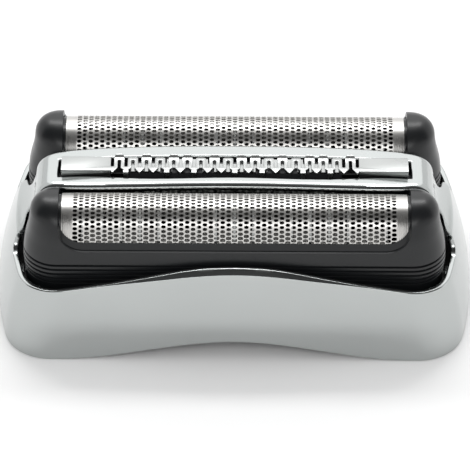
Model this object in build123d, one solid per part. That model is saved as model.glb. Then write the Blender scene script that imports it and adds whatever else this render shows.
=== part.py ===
from build123d import *
import os
from math import cos, pi, radians, sin, sqrt

# Foil head of an electric shaver: two floating foils with cutter blocks, and a middle trimmer.
# Millimetres. X runs along the foils, Y to the back, Z up, and the frame stands on Z = 0.

os.makedirs("parts", exist_ok=True)

# Driving sizes of the frame
frame_length = 60.8
frame_depth = 30.8
frame_wall = 0.9
frame_corner = 6.0
end_bow = 2.6
front_rim_height = 14.36
rim_slope = 0.165
rim_radius = 36.0
end_rim_height = 10.0
belly_arch = 3.0
bridge_rise = 3.4
bridge_width = 8.3
bridge_depth = 2.1
pillar_half_width = 3.5
pillar_foot_half = 5.0
pillar_foot_rise = 4.6

# Driving sizes of the foils and their carriers
foil_radius = 4.0
foil_spacing = 15.6
foil_axis_height = 16.0
foil_end_gap = 8.85
foil_sheet = 0.12
arch_facets = 9
hole_columns = 9
hole_radius = 0.6
horn_rise = 0.7
horn_width = 3.5
skirt_flare = 0.8
bezel_rise = 0.9
skirt_half_width = 5.0
carrier_corner = 4.3
corner_facets = 5
carrier_bottom = 7.6
groove_count = 3
groove_pitch = 0.86

# Driving sizes of the motions and fits
float_travel = 1.8
trimmer_travel = 1.0
drive_stroke = 1.2
clearance = 0.3
fine_clearance = 0.12

# Driving sizes of the trimmer
loop_count = 18
loop_pitch = 1.716
comb_sheet = 0.3
comb_rise = 0.25
tooth_pitch = 1.5
tooth_count = 18

# Driving sizes of the inside pieces
chassis_top = 5.5
chassis_sheet = 1.1
lamella_count = 17
lamella_sheet = 0.3
spring_wire = 0.34
steps_per_turn = 8
drive_pin_radius = 1.6

# Sizes that follow from the driving ones
foil_offset = foil_spacing / 2
half_length = frame_length / 2
half_depth = frame_depth / 2
foil_length = frame_length - 2 * foil_end_gap
trimmer_length = foil_length + 0.7
bridge_top = foil_axis_height + bridge_rise
comb_top = bridge_top + comb_rise
horn_radius = foil_radius + horn_rise
horn_inner = foil_length / 2 + 0.4
horn_outer = horn_inner + horn_width
skirt_end = horn_outer + skirt_flare
lip_height = foil_axis_height - 0.5
flange_top = carrier_bottom + 0.5
foil_inner = foil_radius - foil_sheet
foil_foot = foil_axis_height - 2.8
drive_bottom = chassis_top + clearance
drive_top = drive_bottom + 1.4
spine_bottom = foil_foot - 1.6
spine_top = foil_foot + 0.2
lamella_radius = foil_inner - fine_clearance
cutter_half = foil_length / 2 - 0.8 - drive_stroke - 0.2
comb_bottom = comb_top - comb_sheet
blade_top = comb_bottom - fine_clearance
blade_bottom = blade_top - comb_sheet
beam_top = foil_axis_height - 0.4
beam_bottom = beam_top - 1.4
drive_peg_width = 1.4
spring_x_trimmer = trimmer_length / 2 - 3.4
spring_x_cutter = cutter_half * 0.58
bridge_half = bridge_width / 2
front_unit = -foil_offset
rear_unit = foil_offset


def save(shape, node):
    export_step(shape, f"parts/{node}.step")


def block(x0, x1, y0, y1, z0, z1):
    return Pos((x0 + x1) / 2, (y0 + y1) / 2, (z0 + z1) / 2) * Box(x1 - x0, y1 - y0, z1 - z0)


def post(x, y, radius, z0, z1):
    return Pos(x, y, (z0 + z1) / 2) * Cylinder(radius, z1 - z0)


def peg(x, y, radius, z0, z1):
    """Six-sided peg that a coil spring sits on."""
    return Pos(x, y, z0) * extrude(RegularPolygon(radius, 6), amount=z1 - z0)


def polygon(points):
    return make_face(Polyline(*points, close=True))


def along_y(face, half):
    return extrude(Plane.XZ * face, amount=half, both=True)


def along_x(face, half):
    return extrude(Plane.YZ * face, amount=half, both=True)


def plan_face(half_x, half_y, corner, bow):
    """Rectangle in plan with bowed ends and round corners."""
    side_x = half_x - bow
    edges = [
        Line((-side_x, -half_y), (side_x, -half_y)),
        ThreePointArc((side_x, -half_y), (half_x, 0), (side_x, half_y)),
        Line((side_x, half_y), (-side_x, half_y)),
        ThreePointArc((-side_x, half_y), (-half_x, 0), (-side_x, -half_y)),
    ]
    face = make_face(edges)
    return fillet(face.vertices(), corner)


def faceted_plan(half_x, half_y, corner):
    """Rectangle in plan whose round corners are short flats."""
    points = []
    for quarter, (x_side, y_side) in enumerate(((1, 1), (-1, 1), (-1, -1), (1, -1))):
        for step in range(corner_facets + 1):
            angle = radians(90.0 * quarter + 90.0 * step / corner_facets)
            x = x_side * (half_x - corner) + corner * cos(angle)
            y = y_side * (half_y - corner) + corner * sin(angle)
            points.append((x, y))
    return polygon(points)


def frame_loft(shrink):
    """Outer skin of the frame, or the same skin set inwards by shrink."""
    levels = [
        (-2.0, -0.1, 0.0),
        (3.5, 0.2, 0.0),
        (8.5, 1.35, 0.25),
        (12.5, 2.7, 0.75),
        (21.0, 6.1, 2.4),
    ]
    sections = []
    for height, end_lean, front_lean in levels:
        half_x = half_length - end_lean - shrink
        half_y = half_depth - front_lean - shrink
        face = plan_face(half_x, half_y, frame_corner - shrink, end_bow)
        sections.append(Pos(0, 0, height) * face)
    return loft(sections, ruled=True)


def carrier_loft(grow):
    """Rounded block of one foil carrier about its own centre line, grown by a clearance."""
    levels = [
        (carrier_bottom - grow, skirt_end, skirt_half_width),
        (foil_axis_height - 5.2, skirt_end + 0.1, skirt_half_width),
        (foil_axis_height - 3.4, skirt_end + 0.25, skirt_half_width),
        (foil_axis_height + 0.5, horn_outer + 0.3, horn_radius + 0.05),
        (foil_axis_height + horn_radius + 1.0, horn_outer - 0.5, horn_radius),
    ]
    sections = []
    for height, half_x, half_y in levels:
        face = faceted_plan(half_x + grow, half_y + grow, carrier_corner + grow)
        sections.append(Pos(0, 0, height) * face)
    return loft(sections, ruled=True)


def arch_face(radius, foot):
    """Round-topped section of a foil, a lamella or a rib, in flat facets that the holes sit on."""
    points = [(-radius, foot)]
    for index in range(arch_facets + 1):
        angle = radians(180.0 * index / arch_facets - 90.0)
        points.append((radius * sin(angle), foil_axis_height + radius * cos(angle)))
    points.append((radius, foot))
    return polygon(points)


def carrier_block(grow):
    """Carrier with its round horn tops, before the foil opening is cut."""
    body = carrier_loft(grow)
    radius = horn_radius + grow
    wide = skirt_half_width + grow + 1.0
    top_edges = [
        Line((-wide, carrier_bottom - 2), (-wide, foil_axis_height)),
        Line((-wide, foil_axis_height), (-radius, foil_axis_height)),
        ThreePointArc(
            (-radius, foil_axis_height),
            (0, foil_axis_height + radius),
            (radius, foil_axis_height),
        ),
        Line((radius, foil_axis_height), (wide, foil_axis_height)),
        Line((wide, foil_axis_height), (wide, carrier_bottom - 2)),
        Line((wide, carrier_bottom - 2), (-wide, carrier_bottom - 2)),
    ]
    rounded = body & along_x(make_face(top_edges), half_length)
    top = foil_axis_height + radius
    reach = horn_outer + grow - 0.05
    side = half_length + 5
    shoulder = [
        (-side, carrier_bottom - 2),
        (side, carrier_bottom - 2),
        (side, foil_axis_height + 1),
        (reach + 0.3, foil_axis_height + 1),
        (reach, top),
        (-reach, top),
        (-reach - 0.3, foil_axis_height + 1),
        (-side, foil_axis_height + 1),
    ]
    outline = polygon(shoulder)
    corners = [v for v in outline.vertices() if v.Y > top - 0.01]
    outline = fillet(corners, 2.2)
    return rounded & along_y(outline, half_depth)


def bezel():
    """Sloped bands from the lip's outer edge up to the foil, along both long sides."""
    outer = horn_radius - 0.05
    inner = foil_radius + 0.03
    bands = []
    for side in (-1, 1):
        section = polygon([
            (side * outer, lip_height),
            (side * inner, lip_height + bezel_rise),
            (side * inner, lip_height - 0.5),
            (side * outer, lip_height - 0.5),
        ])
        bands.append(along_x(section, horn_inner + 0.3))
    return bands


def foil_carrier(inner_side):
    """Black carrier; inner_side is +1 or -1, the side that faces the trimmer."""
    body = carrier_block(0)
    opening = polygon([
        (-horn_inner, lip_height),
        (horn_inner, lip_height),
        (horn_inner, foil_axis_height + horn_radius + 2),
        (-horn_inner, foil_axis_height + horn_radius + 2),
    ])
    low_corners = [v for v in opening.vertices() if v.Y < lip_height + 0.01]
    opening = fillet(low_corners, 3.2)
    body -= along_y(opening, half_depth)
    body += bezel()
    body -= block(-horn_inner + 0.3, horn_inner - 0.3, -foil_radius, foil_radius, foil_foot, 30)
    pocket = cutter_half + drive_stroke + 2.6
    body -= block(-pocket, pocket, -foil_radius, foil_radius, 0, foil_foot)
    rib = along_x(arch_face(foil_inner, foil_foot), 0.65)
    for side in (-1, 1):
        body += Pos(side * (horn_inner - 0.45), 0, 0) * rib
    core = carrier_loft(-0.25)
    for index in range(groove_count):
        level = foil_axis_height - 2.9 - index * groove_pitch
        slab = block(-half_length, half_length, -half_depth, half_depth, level - 0.3, level)
        body -= slab - core
    notch = 4.0 + drive_stroke + clearance + 0.1
    notch_top = drive_top + float_travel + clearance
    body -= block(-notch, notch, inner_side * 3.0 - 3.0, inner_side * 3.0 + 3.0, 0, notch_top)
    for side in (-1, 1):
        x0 = side * (skirt_end - 0.6)
        x1 = side * (skirt_end + 0.5)
        body += block(min(x0, x1), max(x0, x1), -1.5, 1.5, carrier_bottom, flange_top)
    return body


def foil():
    """Arched sheet with staggered six-sided holes."""
    sheet = along_x(arch_face(foil_radius, foil_foot), foil_length / 2)
    sheet -= along_x(arch_face(foil_inner, foil_foot - 1), foil_length)
    pitch = (foil_length - 4.0) / hole_columns
    drill = extrude(RegularPolygon(hole_radius, 6), amount=2.0)
    drills = []
    for row in range(arch_facets - 2):
        angle = (row - (arch_facets - 3) / 2) * 180.0 / arch_facets
        count = hole_columns - row % 2
        for column in range(count):
            x = (column - (count - 1) / 2) * pitch
            place = Pos(x, 0, foil_axis_height) * Rot(angle, 0, 0) * Pos(0, 0, foil_radius - 1.0)
            drills.append(place * drill)
    return sheet - drills


def bridge():
    """Arch over the middle that carries the trimmer, before its window is cut."""
    drop = 0.9
    foot = end_rim_height - 1.5
    foot_x = half_length - 0.9
    corner_x = half_length - 5.3
    outer = make_face([
        Line((-foot_x, foot), (-corner_x, bridge_top - drop)),
        ThreePointArc((-corner_x, bridge_top - drop), (0, bridge_top), (corner_x, bridge_top - drop)),
        Line((corner_x, bridge_top - drop), (foot_x, foot)),
        Line((foot_x, foot), (-foot_x, foot)),
    ])
    shoulders = [v for v in outer.vertices() if v.Y > foot + 1]
    outer = fillet(shoulders, 2.4)
    under = bridge_top - bridge_depth
    inner = polygon([
        (-foot_x + 1.8, foot - 1),
        (-corner_x + 1.5, under),
        (corner_x - 1.5, under),
        (foot_x - 1.8, foot - 1),
    ])
    arch = along_y(outer, bridge_half)
    rims = [e for e in arch.edges() if abs(abs(e.center().Y) - bridge_half) < 0.01]
    rims = [e for e in rims if e.center().Z > foot + 0.5]
    arch = chamfer(rims, 0.45)
    return arch - along_y(inner, bridge_half + 1)


def trimmer_window():
    """Opening in the bridge, wider to the front along the comb's teeth."""
    half = trimmer_length / 2 + 0.4
    teeth = loop_count * loop_pitch / 2 - 2.0
    outline = polygon([
        (-half, 1.75),
        (-half, -1.65),
        (-teeth - 3.0, -1.9),
        (-teeth, -2.4),
        (teeth, -2.4),
        (teeth + 3.0, -1.9),
        (half, -1.65),
        (half, 1.75),
    ])
    return Pos(0, 0, beam_top) * extrude(outline, amount=10)


def carrier_envelope(centre_y):
    """Room that one carrier with its foil needs, over its whole float, with clearance."""
    horns = carrier_block(clearance)
    middle = block(-horn_inner + 0.4, horn_inner - 0.4, -half_depth, half_depth, lip_height + 0.4, 40)
    horns -= middle
    sheet = along_x(arch_face(foil_radius + clearance, lip_height), horn_inner)
    lowered = Pos(0, 0, -float_travel) * horns
    return [Pos(0, centre_y, 0) * shape for shape in (horns, lowered, sheet)]


def outer_frame():
    skin = frame_loft(0)
    hollow = frame_loft(frame_wall)
    shell = skin - hollow
    side = half_length + 2
    rim_tangent = rim_radius * rim_slope / sqrt(1 + rim_slope**2)
    rim_join = front_rim_height - rim_radius + sqrt(rim_radius**2 - rim_tangent**2)
    rim_side = rim_join - rim_slope * (side - rim_tangent)
    front_keep = make_face([
        Line((-side, rim_side), (-rim_tangent, rim_join)),
        ThreePointArc((-rim_tangent, rim_join), (0, front_rim_height), (rim_tangent, rim_join)),
        Line((rim_tangent, rim_join), (side, rim_side)),
        Line((side, rim_side), (side, -4)),
        Line((side, -4), (-side, -4)),
        Line((-side, -4), (-side, rim_side)),
    ])
    back = half_depth + 4
    end_keep = polygon([
        (-back, -4),
        (back, -4),
        (back, end_rim_height),
        (pillar_foot_half, end_rim_height),
        (pillar_foot_half, end_rim_height + pillar_foot_rise),
        (-pillar_foot_half, end_rim_height + pillar_foot_rise),
        (-pillar_foot_half, end_rim_height),
        (-back, end_rim_height),
    ])
    inside = [v for v in end_keep.vertices() if abs(v.Y - end_rim_height) < 0.01 and abs(v.X) < back - 1]
    end_keep = fillet(inside, 1.6)
    keep = along_y(front_keep, back) + along_x(end_keep, side)
    shell &= keep
    lobe = 0.36 * frame_length
    belly = make_face([
        Line((-side, -5), (-side, 0)),
        Line((-side, 0), (-lobe, 0)),
        Spline((-lobe, 0), (0, belly_arch), (lobe, 0), tangents=((1, 0), (1, 0))),
        Line((lobe, 0), (side, 0)),
        Line((side, 0), (side, -5)),
        Line((side, -5), (-side, -5)),
    ])
    shell -= along_y(belly, back)
    arch = bridge() & skin
    for centre_y in (front_unit, rear_unit):
        for room in carrier_envelope(centre_y):
            arch -= room
    high = block(-side, side, -back, back, end_rim_height + 0.05, 30)
    low_wall = shell - high
    high_wall = shell & high
    for centre_y in (front_unit, rear_unit):
        for room in carrier_envelope(centre_y):
            high_wall -= room
    frame = low_wall + high_wall + (arch - trimmer_window())
    frame -= pillar_notches()
    for x_side in (-1, 1):
        for y_side in (-1, 1):
            frame += frame_ledges(x_side, y_side) & skin
    return frame - latch_recesses()


def pillar_notches():
    """Notches that narrow the bridge's two pillars beside the horns."""
    notches = []
    for x_side in (-1, 1):
        x0 = x_side * (horn_outer - 1.0)
        x1 = x_side * (half_length + 1.0)
        for y_side in (-1, 1):
            y0 = y_side * pillar_half_width
            y1 = y_side * (pillar_foot_half + 1.0)
            level = end_rim_height + pillar_foot_rise
            notch = block(min(x0, x1), max(x0, x1), min(y0, y1), max(y0, y1), level, foil_axis_height + 0.2)
            notches.append(notch)
    return notches


def frame_ledges(x_side, y_side):
    """Stop above one carrier's flange, and a seat below the chassis."""
    stop_x = x_side * (half_length - 1.5)
    stop_bottom = flange_top + 0.2
    stop_top = flange_top + 0.8
    inner_x = x_side * (skirt_end + clearance)
    y0 = y_side * foil_offset - 0.8
    stop = block(min(stop_x, inner_x), max(stop_x, inner_x), y0, y0 + 1.6, stop_bottom, stop_top)
    seat_x = x_side * (half_length - 2.4)
    seat_y = y_side * foil_offset
    seat_top = chassis_top - chassis_sheet
    seat = block(seat_x - 1.0, seat_x + 1.0, seat_y - 1.5, seat_y + 1.5, seat_top - 1.0, seat_top)
    return stop + seat


def latch_recesses():
    """Pockets inside both end walls for the latches of the shaver's neck."""
    pockets = []
    for x_side in (-1, 1):
        x = x_side * (half_length - frame_wall)
        pockets.append(block(x - 0.35, x + 0.35, -3.0, 3.0, 1.4, 3.0))
    return pockets


def inner_chassis():
    """Plate with windows that lets hair out and guides the drive carrier."""
    level = chassis_top - chassis_sheet
    lean = frame_wall + 0.9
    face = plan_face(half_length - lean, half_depth - frame_wall - 0.2, frame_corner - 1.0, end_bow)
    plate = Pos(0, 0, level) * extrude(face, amount=chassis_sheet)
    slot = 2.6 + drive_stroke + clearance
    plate -= block(-slot, slot, -3.0, 3.0, level - 1, chassis_top + 1)
    for x_side in (-1, 1):
        for y_side in (-1, 1):
            x0 = x_side * 6.4
            x1 = x_side * 22.0
            y0 = y_side * 3.6
            y1 = y_side * (foil_offset - 2.6)
            window = block(min(x0, x1), max(x0, x1), min(y0, y1), max(y0, y1), 0, 20)
            plate -= window
            y2 = y_side * (foil_offset + 2.6)
            y3 = y_side * (foil_offset + 4.4)
            plate -= block(min(x0, x1), max(x0, x1), min(y2, y3), max(y2, y3), 0, 20)
        plate += peg(x_side * spring_x_trimmer, 0, 0.8, chassis_top - 0.2, chassis_top + 1.2)
    return plate


def drive_carrier():
    """H-shaped slide with the drive socket below and the trimmer peg above."""
    bar_half = spring_x_cutter + 3.0
    shape = block(-4.0, 4.0, -foil_offset, foil_offset, drive_bottom, drive_top)
    for centre_y in (front_unit, rear_unit):
        shape += block(-bar_half, bar_half, centre_y - 2.2, centre_y + 2.2, drive_bottom, drive_top)
        for x_side in (-1, 1):
            shape += peg(x_side * spring_x_cutter, centre_y, 0.8, drive_top - 0.2, drive_top + 1.0)
    socket_bottom = chassis_top - chassis_sheet
    shape += block(-2.6, 2.6, -2.6, 2.6, socket_bottom, drive_top)
    half_peg = drive_peg_width / 2
    shape += block(-half_peg, half_peg, -0.8, 0.8, drive_top - 0.2, drive_top + 2.6)
    shape -= post(0, 0, drive_pin_radius, socket_bottom - 1, socket_bottom + 2.2)
    return shape


def cutter_spine():
    """Plastic bar that carries the lamellae and takes the two springs."""
    return block(-cutter_half, cutter_half, -2.2, 2.2, spine_bottom, spine_top)


def cutter_blades():
    """Row of equal round-topped lamellae."""
    lamella = along_x(arch_face(lamella_radius, spine_top), lamella_sheet / 2)
    pitch = (2 * cutter_half - 1.0) / (lamella_count - 1)
    row = []
    for index in range(lamella_count):
        x = (index - (lamella_count - 1) / 2) * pitch
        row.append(Pos(x, 0, 0) * lamella)
    return Part() + row


def coil_spring(radius, low, high, turns):
    """Coil of square wire in short straight steps, its ends flush with its two seats."""
    start = low + spring_wire / 2
    rise = high - low - spring_wire
    steps = turns * steps_per_turn
    points = []
    for index in range(steps + 1):
        angle = 2 * pi * index / steps_per_turn
        points.append((radius * cos(angle), radius * sin(angle), start + rise * index / steps))
    path = Polyline(*points)
    section = Plane(origin=path @ 0, z_dir=path % 0) * Rectangle(spring_wire, spring_wire)
    return sweep(section, path=path, transition=Transition.RIGHT)


def loop_is_pointed(index):
    return index % 5 in (0, 2, 4)


def gap_has_post(index):
    """Gaps are counted from the left; index 0 lies before the first loop."""
    return index % 5 in (1, 4) and 0 < index < loop_count


def trimmer_guard_comb():
    """Serpentine steel guard between two end plates, with posts folded down at the front."""
    leg = loop_pitch / 4
    stroke = leg / 2
    inside = leg - stroke
    outside = leg + stroke
    first = -(loop_count - 1) / 2 * loop_pitch
    plate_in = -first + loop_pitch - outside
    plate_out = trimmer_length / 2
    rear = 1.2
    front = -1.5
    valley = -0.75
    shoulder = -1.0
    tip = -1.85
    points = [(-plate_out, front), (-plate_out, rear), (-plate_in, rear), (-plate_in, valley)]
    for index in range(loop_count):
        x = first + index * loop_pitch
        points.append((x - outside, valley))
        if loop_is_pointed(index):
            points += [(x - outside, 0.95), (x - stroke, 1.6), (x + stroke, 1.6), (x + outside, 0.95)]
        else:
            points += [(x - outside, 1.1), (x + outside, 1.1)]
        points.append((x + outside, valley))
    points += [(plate_in, valley), (plate_in, rear), (plate_out, rear), (plate_out, front)]
    points.append((plate_in, front))
    posts = []
    for index in range(loop_count, -1, -1):
        x = first + (index - 0.5) * loop_pitch
        if gap_has_post(index):
            points += [(x + 0.33, shoulder - 0.3), (x + 0.33, tip), (x - 0.33, tip), (x - 0.33, shoulder - 0.3)]
            posts.append(block(x - 0.33, x + 0.33, tip, tip + 0.3, comb_bottom - 0.75, comb_bottom + 0.05))
        else:
            points += [(x + 0.1, tip), (x - 0.1, tip)]
        if index > 0:
            points.append((x - outside, shoulder))
            points.append((x - outside, 0.6))
            points.append((x - outside - 2 * inside, 0.6))
            points.append((x - outside - 2 * inside, shoulder))
    points.append((-plate_in, front))
    comb = Pos(0, 0, comb_bottom) * extrude(polygon(points), amount=comb_sheet)
    for shape in posts:
        comb += shape
    for x_side in (-1, 1):
        x0 = x_side * plate_in
        x1 = x_side * plate_out
        comb += block(min(x0, x1), max(x0, x1), front, front + 0.3, comb_bottom - 0.7, comb_bottom + 0.05)
    for index in range(loop_count):
        if loop_is_pointed(index):
            x = first + index * loop_pitch
            comb += block(x - stroke, x + stroke, 1.2, 1.6, comb_top - 0.05, comb_top + 0.3)
    return comb


def trimmer_blade():
    """Moving toothed blade under the guard."""
    tooth = 0.34
    points = []
    for index in range(tooth_count):
        x = (index - (tooth_count - 1) / 2) * tooth_pitch
        points += [(x - tooth, 0.4), (x - tooth, 1.3), (x + tooth, 1.3), (x + tooth, 0.4)]
    for index in range(tooth_count - 1, -1, -1):
        x = (index - (tooth_count - 1) / 2) * tooth_pitch
        points += [(x + tooth, -0.4), (x + tooth, -1.2), (x - tooth, -1.2), (x - tooth, -0.4)]
    return Pos(0, 0, blade_bottom) * extrude(polygon(points), amount=comb_sheet)


def trimmer_slider():
    """Bar under the moving blade, with a fork that straddles the drive peg."""
    fork_bottom = drive_top + trimmer_travel + 0.2
    half = tooth_count * tooth_pitch / 2
    shape = block(-half, half, -1.1, 1.1, beam_top + 0.4, blade_bottom)
    shape += block(-1.7, 1.7, -1.0, 1.0, fork_bottom, beam_top + 0.6)
    gap = drive_peg_width / 2 + 0.08
    shape -= block(-gap, gap, -2, 2, fork_bottom - 1, drive_top + 2.6 + trimmer_travel + clearance)
    return shape


def trimmer_holder():
    """Floating cradle that carries the guard comb over the slider."""
    half = trimmer_length / 2
    plate_in = loop_count * loop_pitch / 2 + 0.3
    shape = block(-half + 0.1, half - 0.1, -2.1, 2.1, beam_bottom, beam_top)
    room = 1.7 + drive_stroke + clearance
    shape -= block(-room, room, -1.3, 1.3, 0, 30)
    for x_side in (-1, 1):
        x0 = x_side * plate_in
        x1 = x_side * (half - 0.1)
        shape += block(min(x0, x1), max(x0, x1), -1.2, 1.2, beam_top - 0.1, comb_bottom)
        x2 = x_side * (half + 1.0)
        hook_top = bridge_top - bridge_depth - clearance
        shape += block(min(x1, x2), max(x1, x2), -1.2, 1.2, hook_top - 1.2, hook_top)
        shape += peg(x_side * spring_x_trimmer, 0, 0.8, beam_bottom - 1.0, beam_bottom + 0.2)
    return shape


save(outer_frame(), "outer_frame")
save(inner_chassis(), "inner_chassis")
save(drive_carrier(), "drive_carrier")

one_foil = foil()
one_spine = cutter_spine()
one_blade_row = cutter_blades()
cutter_spring = coil_spring(1.3, drive_top, spine_bottom, 3)
for unit, centre_y in (("front", front_unit), ("rear", rear_unit)):
    shift = Pos(0, centre_y, 0)
    inner_side = 1 if centre_y < 0 else -1
    save(shift * foil_carrier(inner_side), f"{unit}_foil_carrier")
    save(shift * one_foil, f"{unit}_foil")
    save(shift * one_spine, f"{unit}_cutter_spine")
    save(shift * one_blade_row, f"{unit}_cutter_blades")
    for side_name, x_side in (("left", -1), ("right", 1)):
        place = Pos(x_side * spring_x_cutter, centre_y, 0)
        save(place * cutter_spring, f"{unit}_cutter_spring_{side_name}")

save(trimmer_guard_comb(), "trimmer_guard_comb")
save(trimmer_holder(), "trimmer_holder")
save(trimmer_blade(), "trimmer_blade")
save(trimmer_slider(), "trimmer_slider")
trimmer_spring = coil_spring(1.3, chassis_top, beam_bottom, 4)
for side_name, x_side in (("left", -1), ("right", 1)):
    save(Pos(x_side * spring_x_trimmer, 0, 0) * trimmer_spring, f"trimmer_spring_{side_name}")
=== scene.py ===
"""Looks of a shaver foil head, built around its packed solids and laid out as a Blender add-on."""

import math

import bmesh
import bpy
import numpy as np
from mathutils import Euler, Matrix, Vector


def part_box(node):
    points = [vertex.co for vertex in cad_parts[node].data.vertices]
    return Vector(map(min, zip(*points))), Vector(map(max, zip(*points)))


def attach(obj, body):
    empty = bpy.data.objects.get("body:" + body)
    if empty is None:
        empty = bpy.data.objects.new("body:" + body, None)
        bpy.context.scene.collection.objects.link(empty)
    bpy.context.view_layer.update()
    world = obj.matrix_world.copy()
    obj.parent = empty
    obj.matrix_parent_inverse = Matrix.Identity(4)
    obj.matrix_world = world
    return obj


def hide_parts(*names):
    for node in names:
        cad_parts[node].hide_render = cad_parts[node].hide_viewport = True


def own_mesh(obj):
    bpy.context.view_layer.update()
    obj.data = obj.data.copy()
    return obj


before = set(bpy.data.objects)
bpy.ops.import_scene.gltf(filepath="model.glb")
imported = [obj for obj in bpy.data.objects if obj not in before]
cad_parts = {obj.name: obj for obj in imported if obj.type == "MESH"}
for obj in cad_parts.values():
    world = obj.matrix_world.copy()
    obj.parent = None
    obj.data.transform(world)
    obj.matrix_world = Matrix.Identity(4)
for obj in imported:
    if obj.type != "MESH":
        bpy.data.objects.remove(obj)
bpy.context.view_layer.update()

bl_info = {
    "name": "Shaver foil head",
    "version": (1, 0, 0),
    "blender": (4, 5, 0),
    "location": "View3D > Sidebar > Foil head",
    "description": "Builds the frame, carriers, foils, trimmer and springs of a two-foil shaver head",
    "category": "Object",
}

MM = 0.001

# Places that come from the solids
_, FRAME_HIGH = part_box("outer_frame")
FOIL_LOW, FOIL_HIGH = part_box("front_foil")
CARRIER_LOW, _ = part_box("front_foil_carrier")
_, COMB_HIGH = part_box("trimmer_guard_comb")
FOIL_RADIUS = (FOIL_HIGH.y - FOIL_LOW.y) / 2
FOIL_AXIS = FOIL_HIGH.z - FOIL_RADIUS
FOIL_OFFSET = -(FOIL_HIGH.y + FOIL_LOW.y) / 2
# Name, middle y and direction towards the trimmer of both foil units
UNITS = (("front", -FOIL_OFFSET, 1), ("rear", FOIL_OFFSET, -1))


class FrameSizes(bpy.types.PropertyGroup):
    """Sizes of the plated frame and its bridge"""

    wall: bpy.props.FloatProperty(
        name="Wall", description="Thickness of the side walls", default=0.9 * MM, unit="LENGTH"
    )
    front_rim: bpy.props.FloatProperty(
        name="Front rim", description="Height of the rim in the middle of the front", default=13.84 * MM,
        unit="LENGTH",
    )
    end_rim: bpy.props.FloatProperty(
        name="End rim", description="Height of the rim along the ends", default=10.0 * MM, unit="LENGTH"
    )
    rim_radius: bpy.props.FloatProperty(
        name="Rim radius", description="Radius of the crest of the front rim", default=48.0 * MM,
        unit="LENGTH",
    )
    rim_slope: bpy.props.FloatProperty(
        name="Rim slope", description="Fall of the front rim on both sides of its crest", default=0.165
    )
    belly: bpy.props.FloatProperty(
        name="Belly", description="Height of the arch under the long sides", default=3.0 * MM, unit="LENGTH"
    )
    corner: bpy.props.FloatProperty(
        name="Corner", description="Radius of the corners in plan", default=6.0 * MM, unit="LENGTH"
    )
    end_bow: bpy.props.FloatProperty(
        name="End bow", description="How far the ends bulge", default=2.6 * MM, unit="LENGTH"
    )
    edge: bpy.props.FloatProperty(
        name="Edge rounding", description="Radius of the moulded edges", default=0.2 * MM, unit="LENGTH"
    )
    crest_inset: bpy.props.FloatProperty(
        name="Crest inset", description="Inset of the sloped face on the crest of the rim", default=0.7 * MM,
        unit="LENGTH",
    )
    crest_drop: bpy.props.FloatProperty(
        name="Crest drop", description="Fall of the sloped face on the crest of the rim", default=0.47 * MM,
        unit="LENGTH",
    )
    rim_width: bpy.props.FloatProperty(
        name="Rim width", description="Width of the rim's top along the ends", default=0.55 * MM,
        unit="LENGTH",
    )
    pillar_half: bpy.props.FloatProperty(
        name="Pillar half width", description="Half width of the bridge's pillars in their notches",
        default=2.45 * MM, unit="LENGTH",
    )
    pillar_foot: bpy.props.FloatProperty(
        name="Pillar foot", description="Half width of the pillars where they leave the rim",
        default=5.0 * MM, unit="LENGTH",
    )
    sweep: bpy.props.FloatProperty(
        name="Sweep", description="Radius where the rim turns up into a pillar", default=2.0 * MM,
        unit="LENGTH",
    )
    bridge_depth: bpy.props.FloatProperty(
        name="Bridge depth", description="Thickness of the bridge", default=2.1 * MM, unit="LENGTH"
    )
    window_half: bpy.props.FloatProperty(
        name="Window half length", description="Half length of the trimmer's window", default=22.3 * MM,
        unit="LENGTH",
    )


class CarrierSizes(bpy.types.PropertyGroup):
    """Sizes of the two black foil carriers"""

    horn_inner: bpy.props.FloatProperty(
        name="Horn face", description="Distance of a horn's inner face from the middle", default=21.95 * MM,
        unit="LENGTH",
    )
    horn_rise: bpy.props.FloatProperty(
        name="Horn rise", description="How far the horns stand above the foil", default=0.7 * MM,
        unit="LENGTH",
    )
    lip: bpy.props.FloatProperty(
        name="Lip", description="Height of the lip below the foil's axis", default=0.5 * MM, unit="LENGTH"
    )
    bezel: bpy.props.FloatProperty(
        name="Bezel", description="Rise of the sloped band between lip and foil", default=0.9 * MM,
        unit="LENGTH",
    )
    lip_corner: bpy.props.FloatProperty(
        name="Lip corner", description="Radius where the lip runs up into a horn", default=3.2 * MM,
        unit="LENGTH",
    )
    grooves: bpy.props.IntProperty(name="Grooves", description="Grooves round the skirt", default=5)
    groove_pitch: bpy.props.FloatProperty(
        name="Groove pitch", description="Distance between grooves", default=0.66 * MM, unit="LENGTH"
    )
    groove_depth: bpy.props.FloatProperty(
        name="Groove depth", description="Depth of a groove", default=0.24 * MM, unit="LENGTH"
    )
    edge: bpy.props.FloatProperty(
        name="Edge rounding", description="Radius of the lip's edge", default=0.1 * MM, unit="LENGTH"
    )
    lip_face: bpy.props.FloatProperty(
        name="Lip face", description="Width of the polished sloped face on the lip", default=0.16 * MM,
        unit="LENGTH",
    )
    ledge: bpy.props.FloatProperty(
        name="Ledge", description="Width of the flat on top of the lip", default=0.2 * MM, unit="LENGTH"
    )


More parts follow.
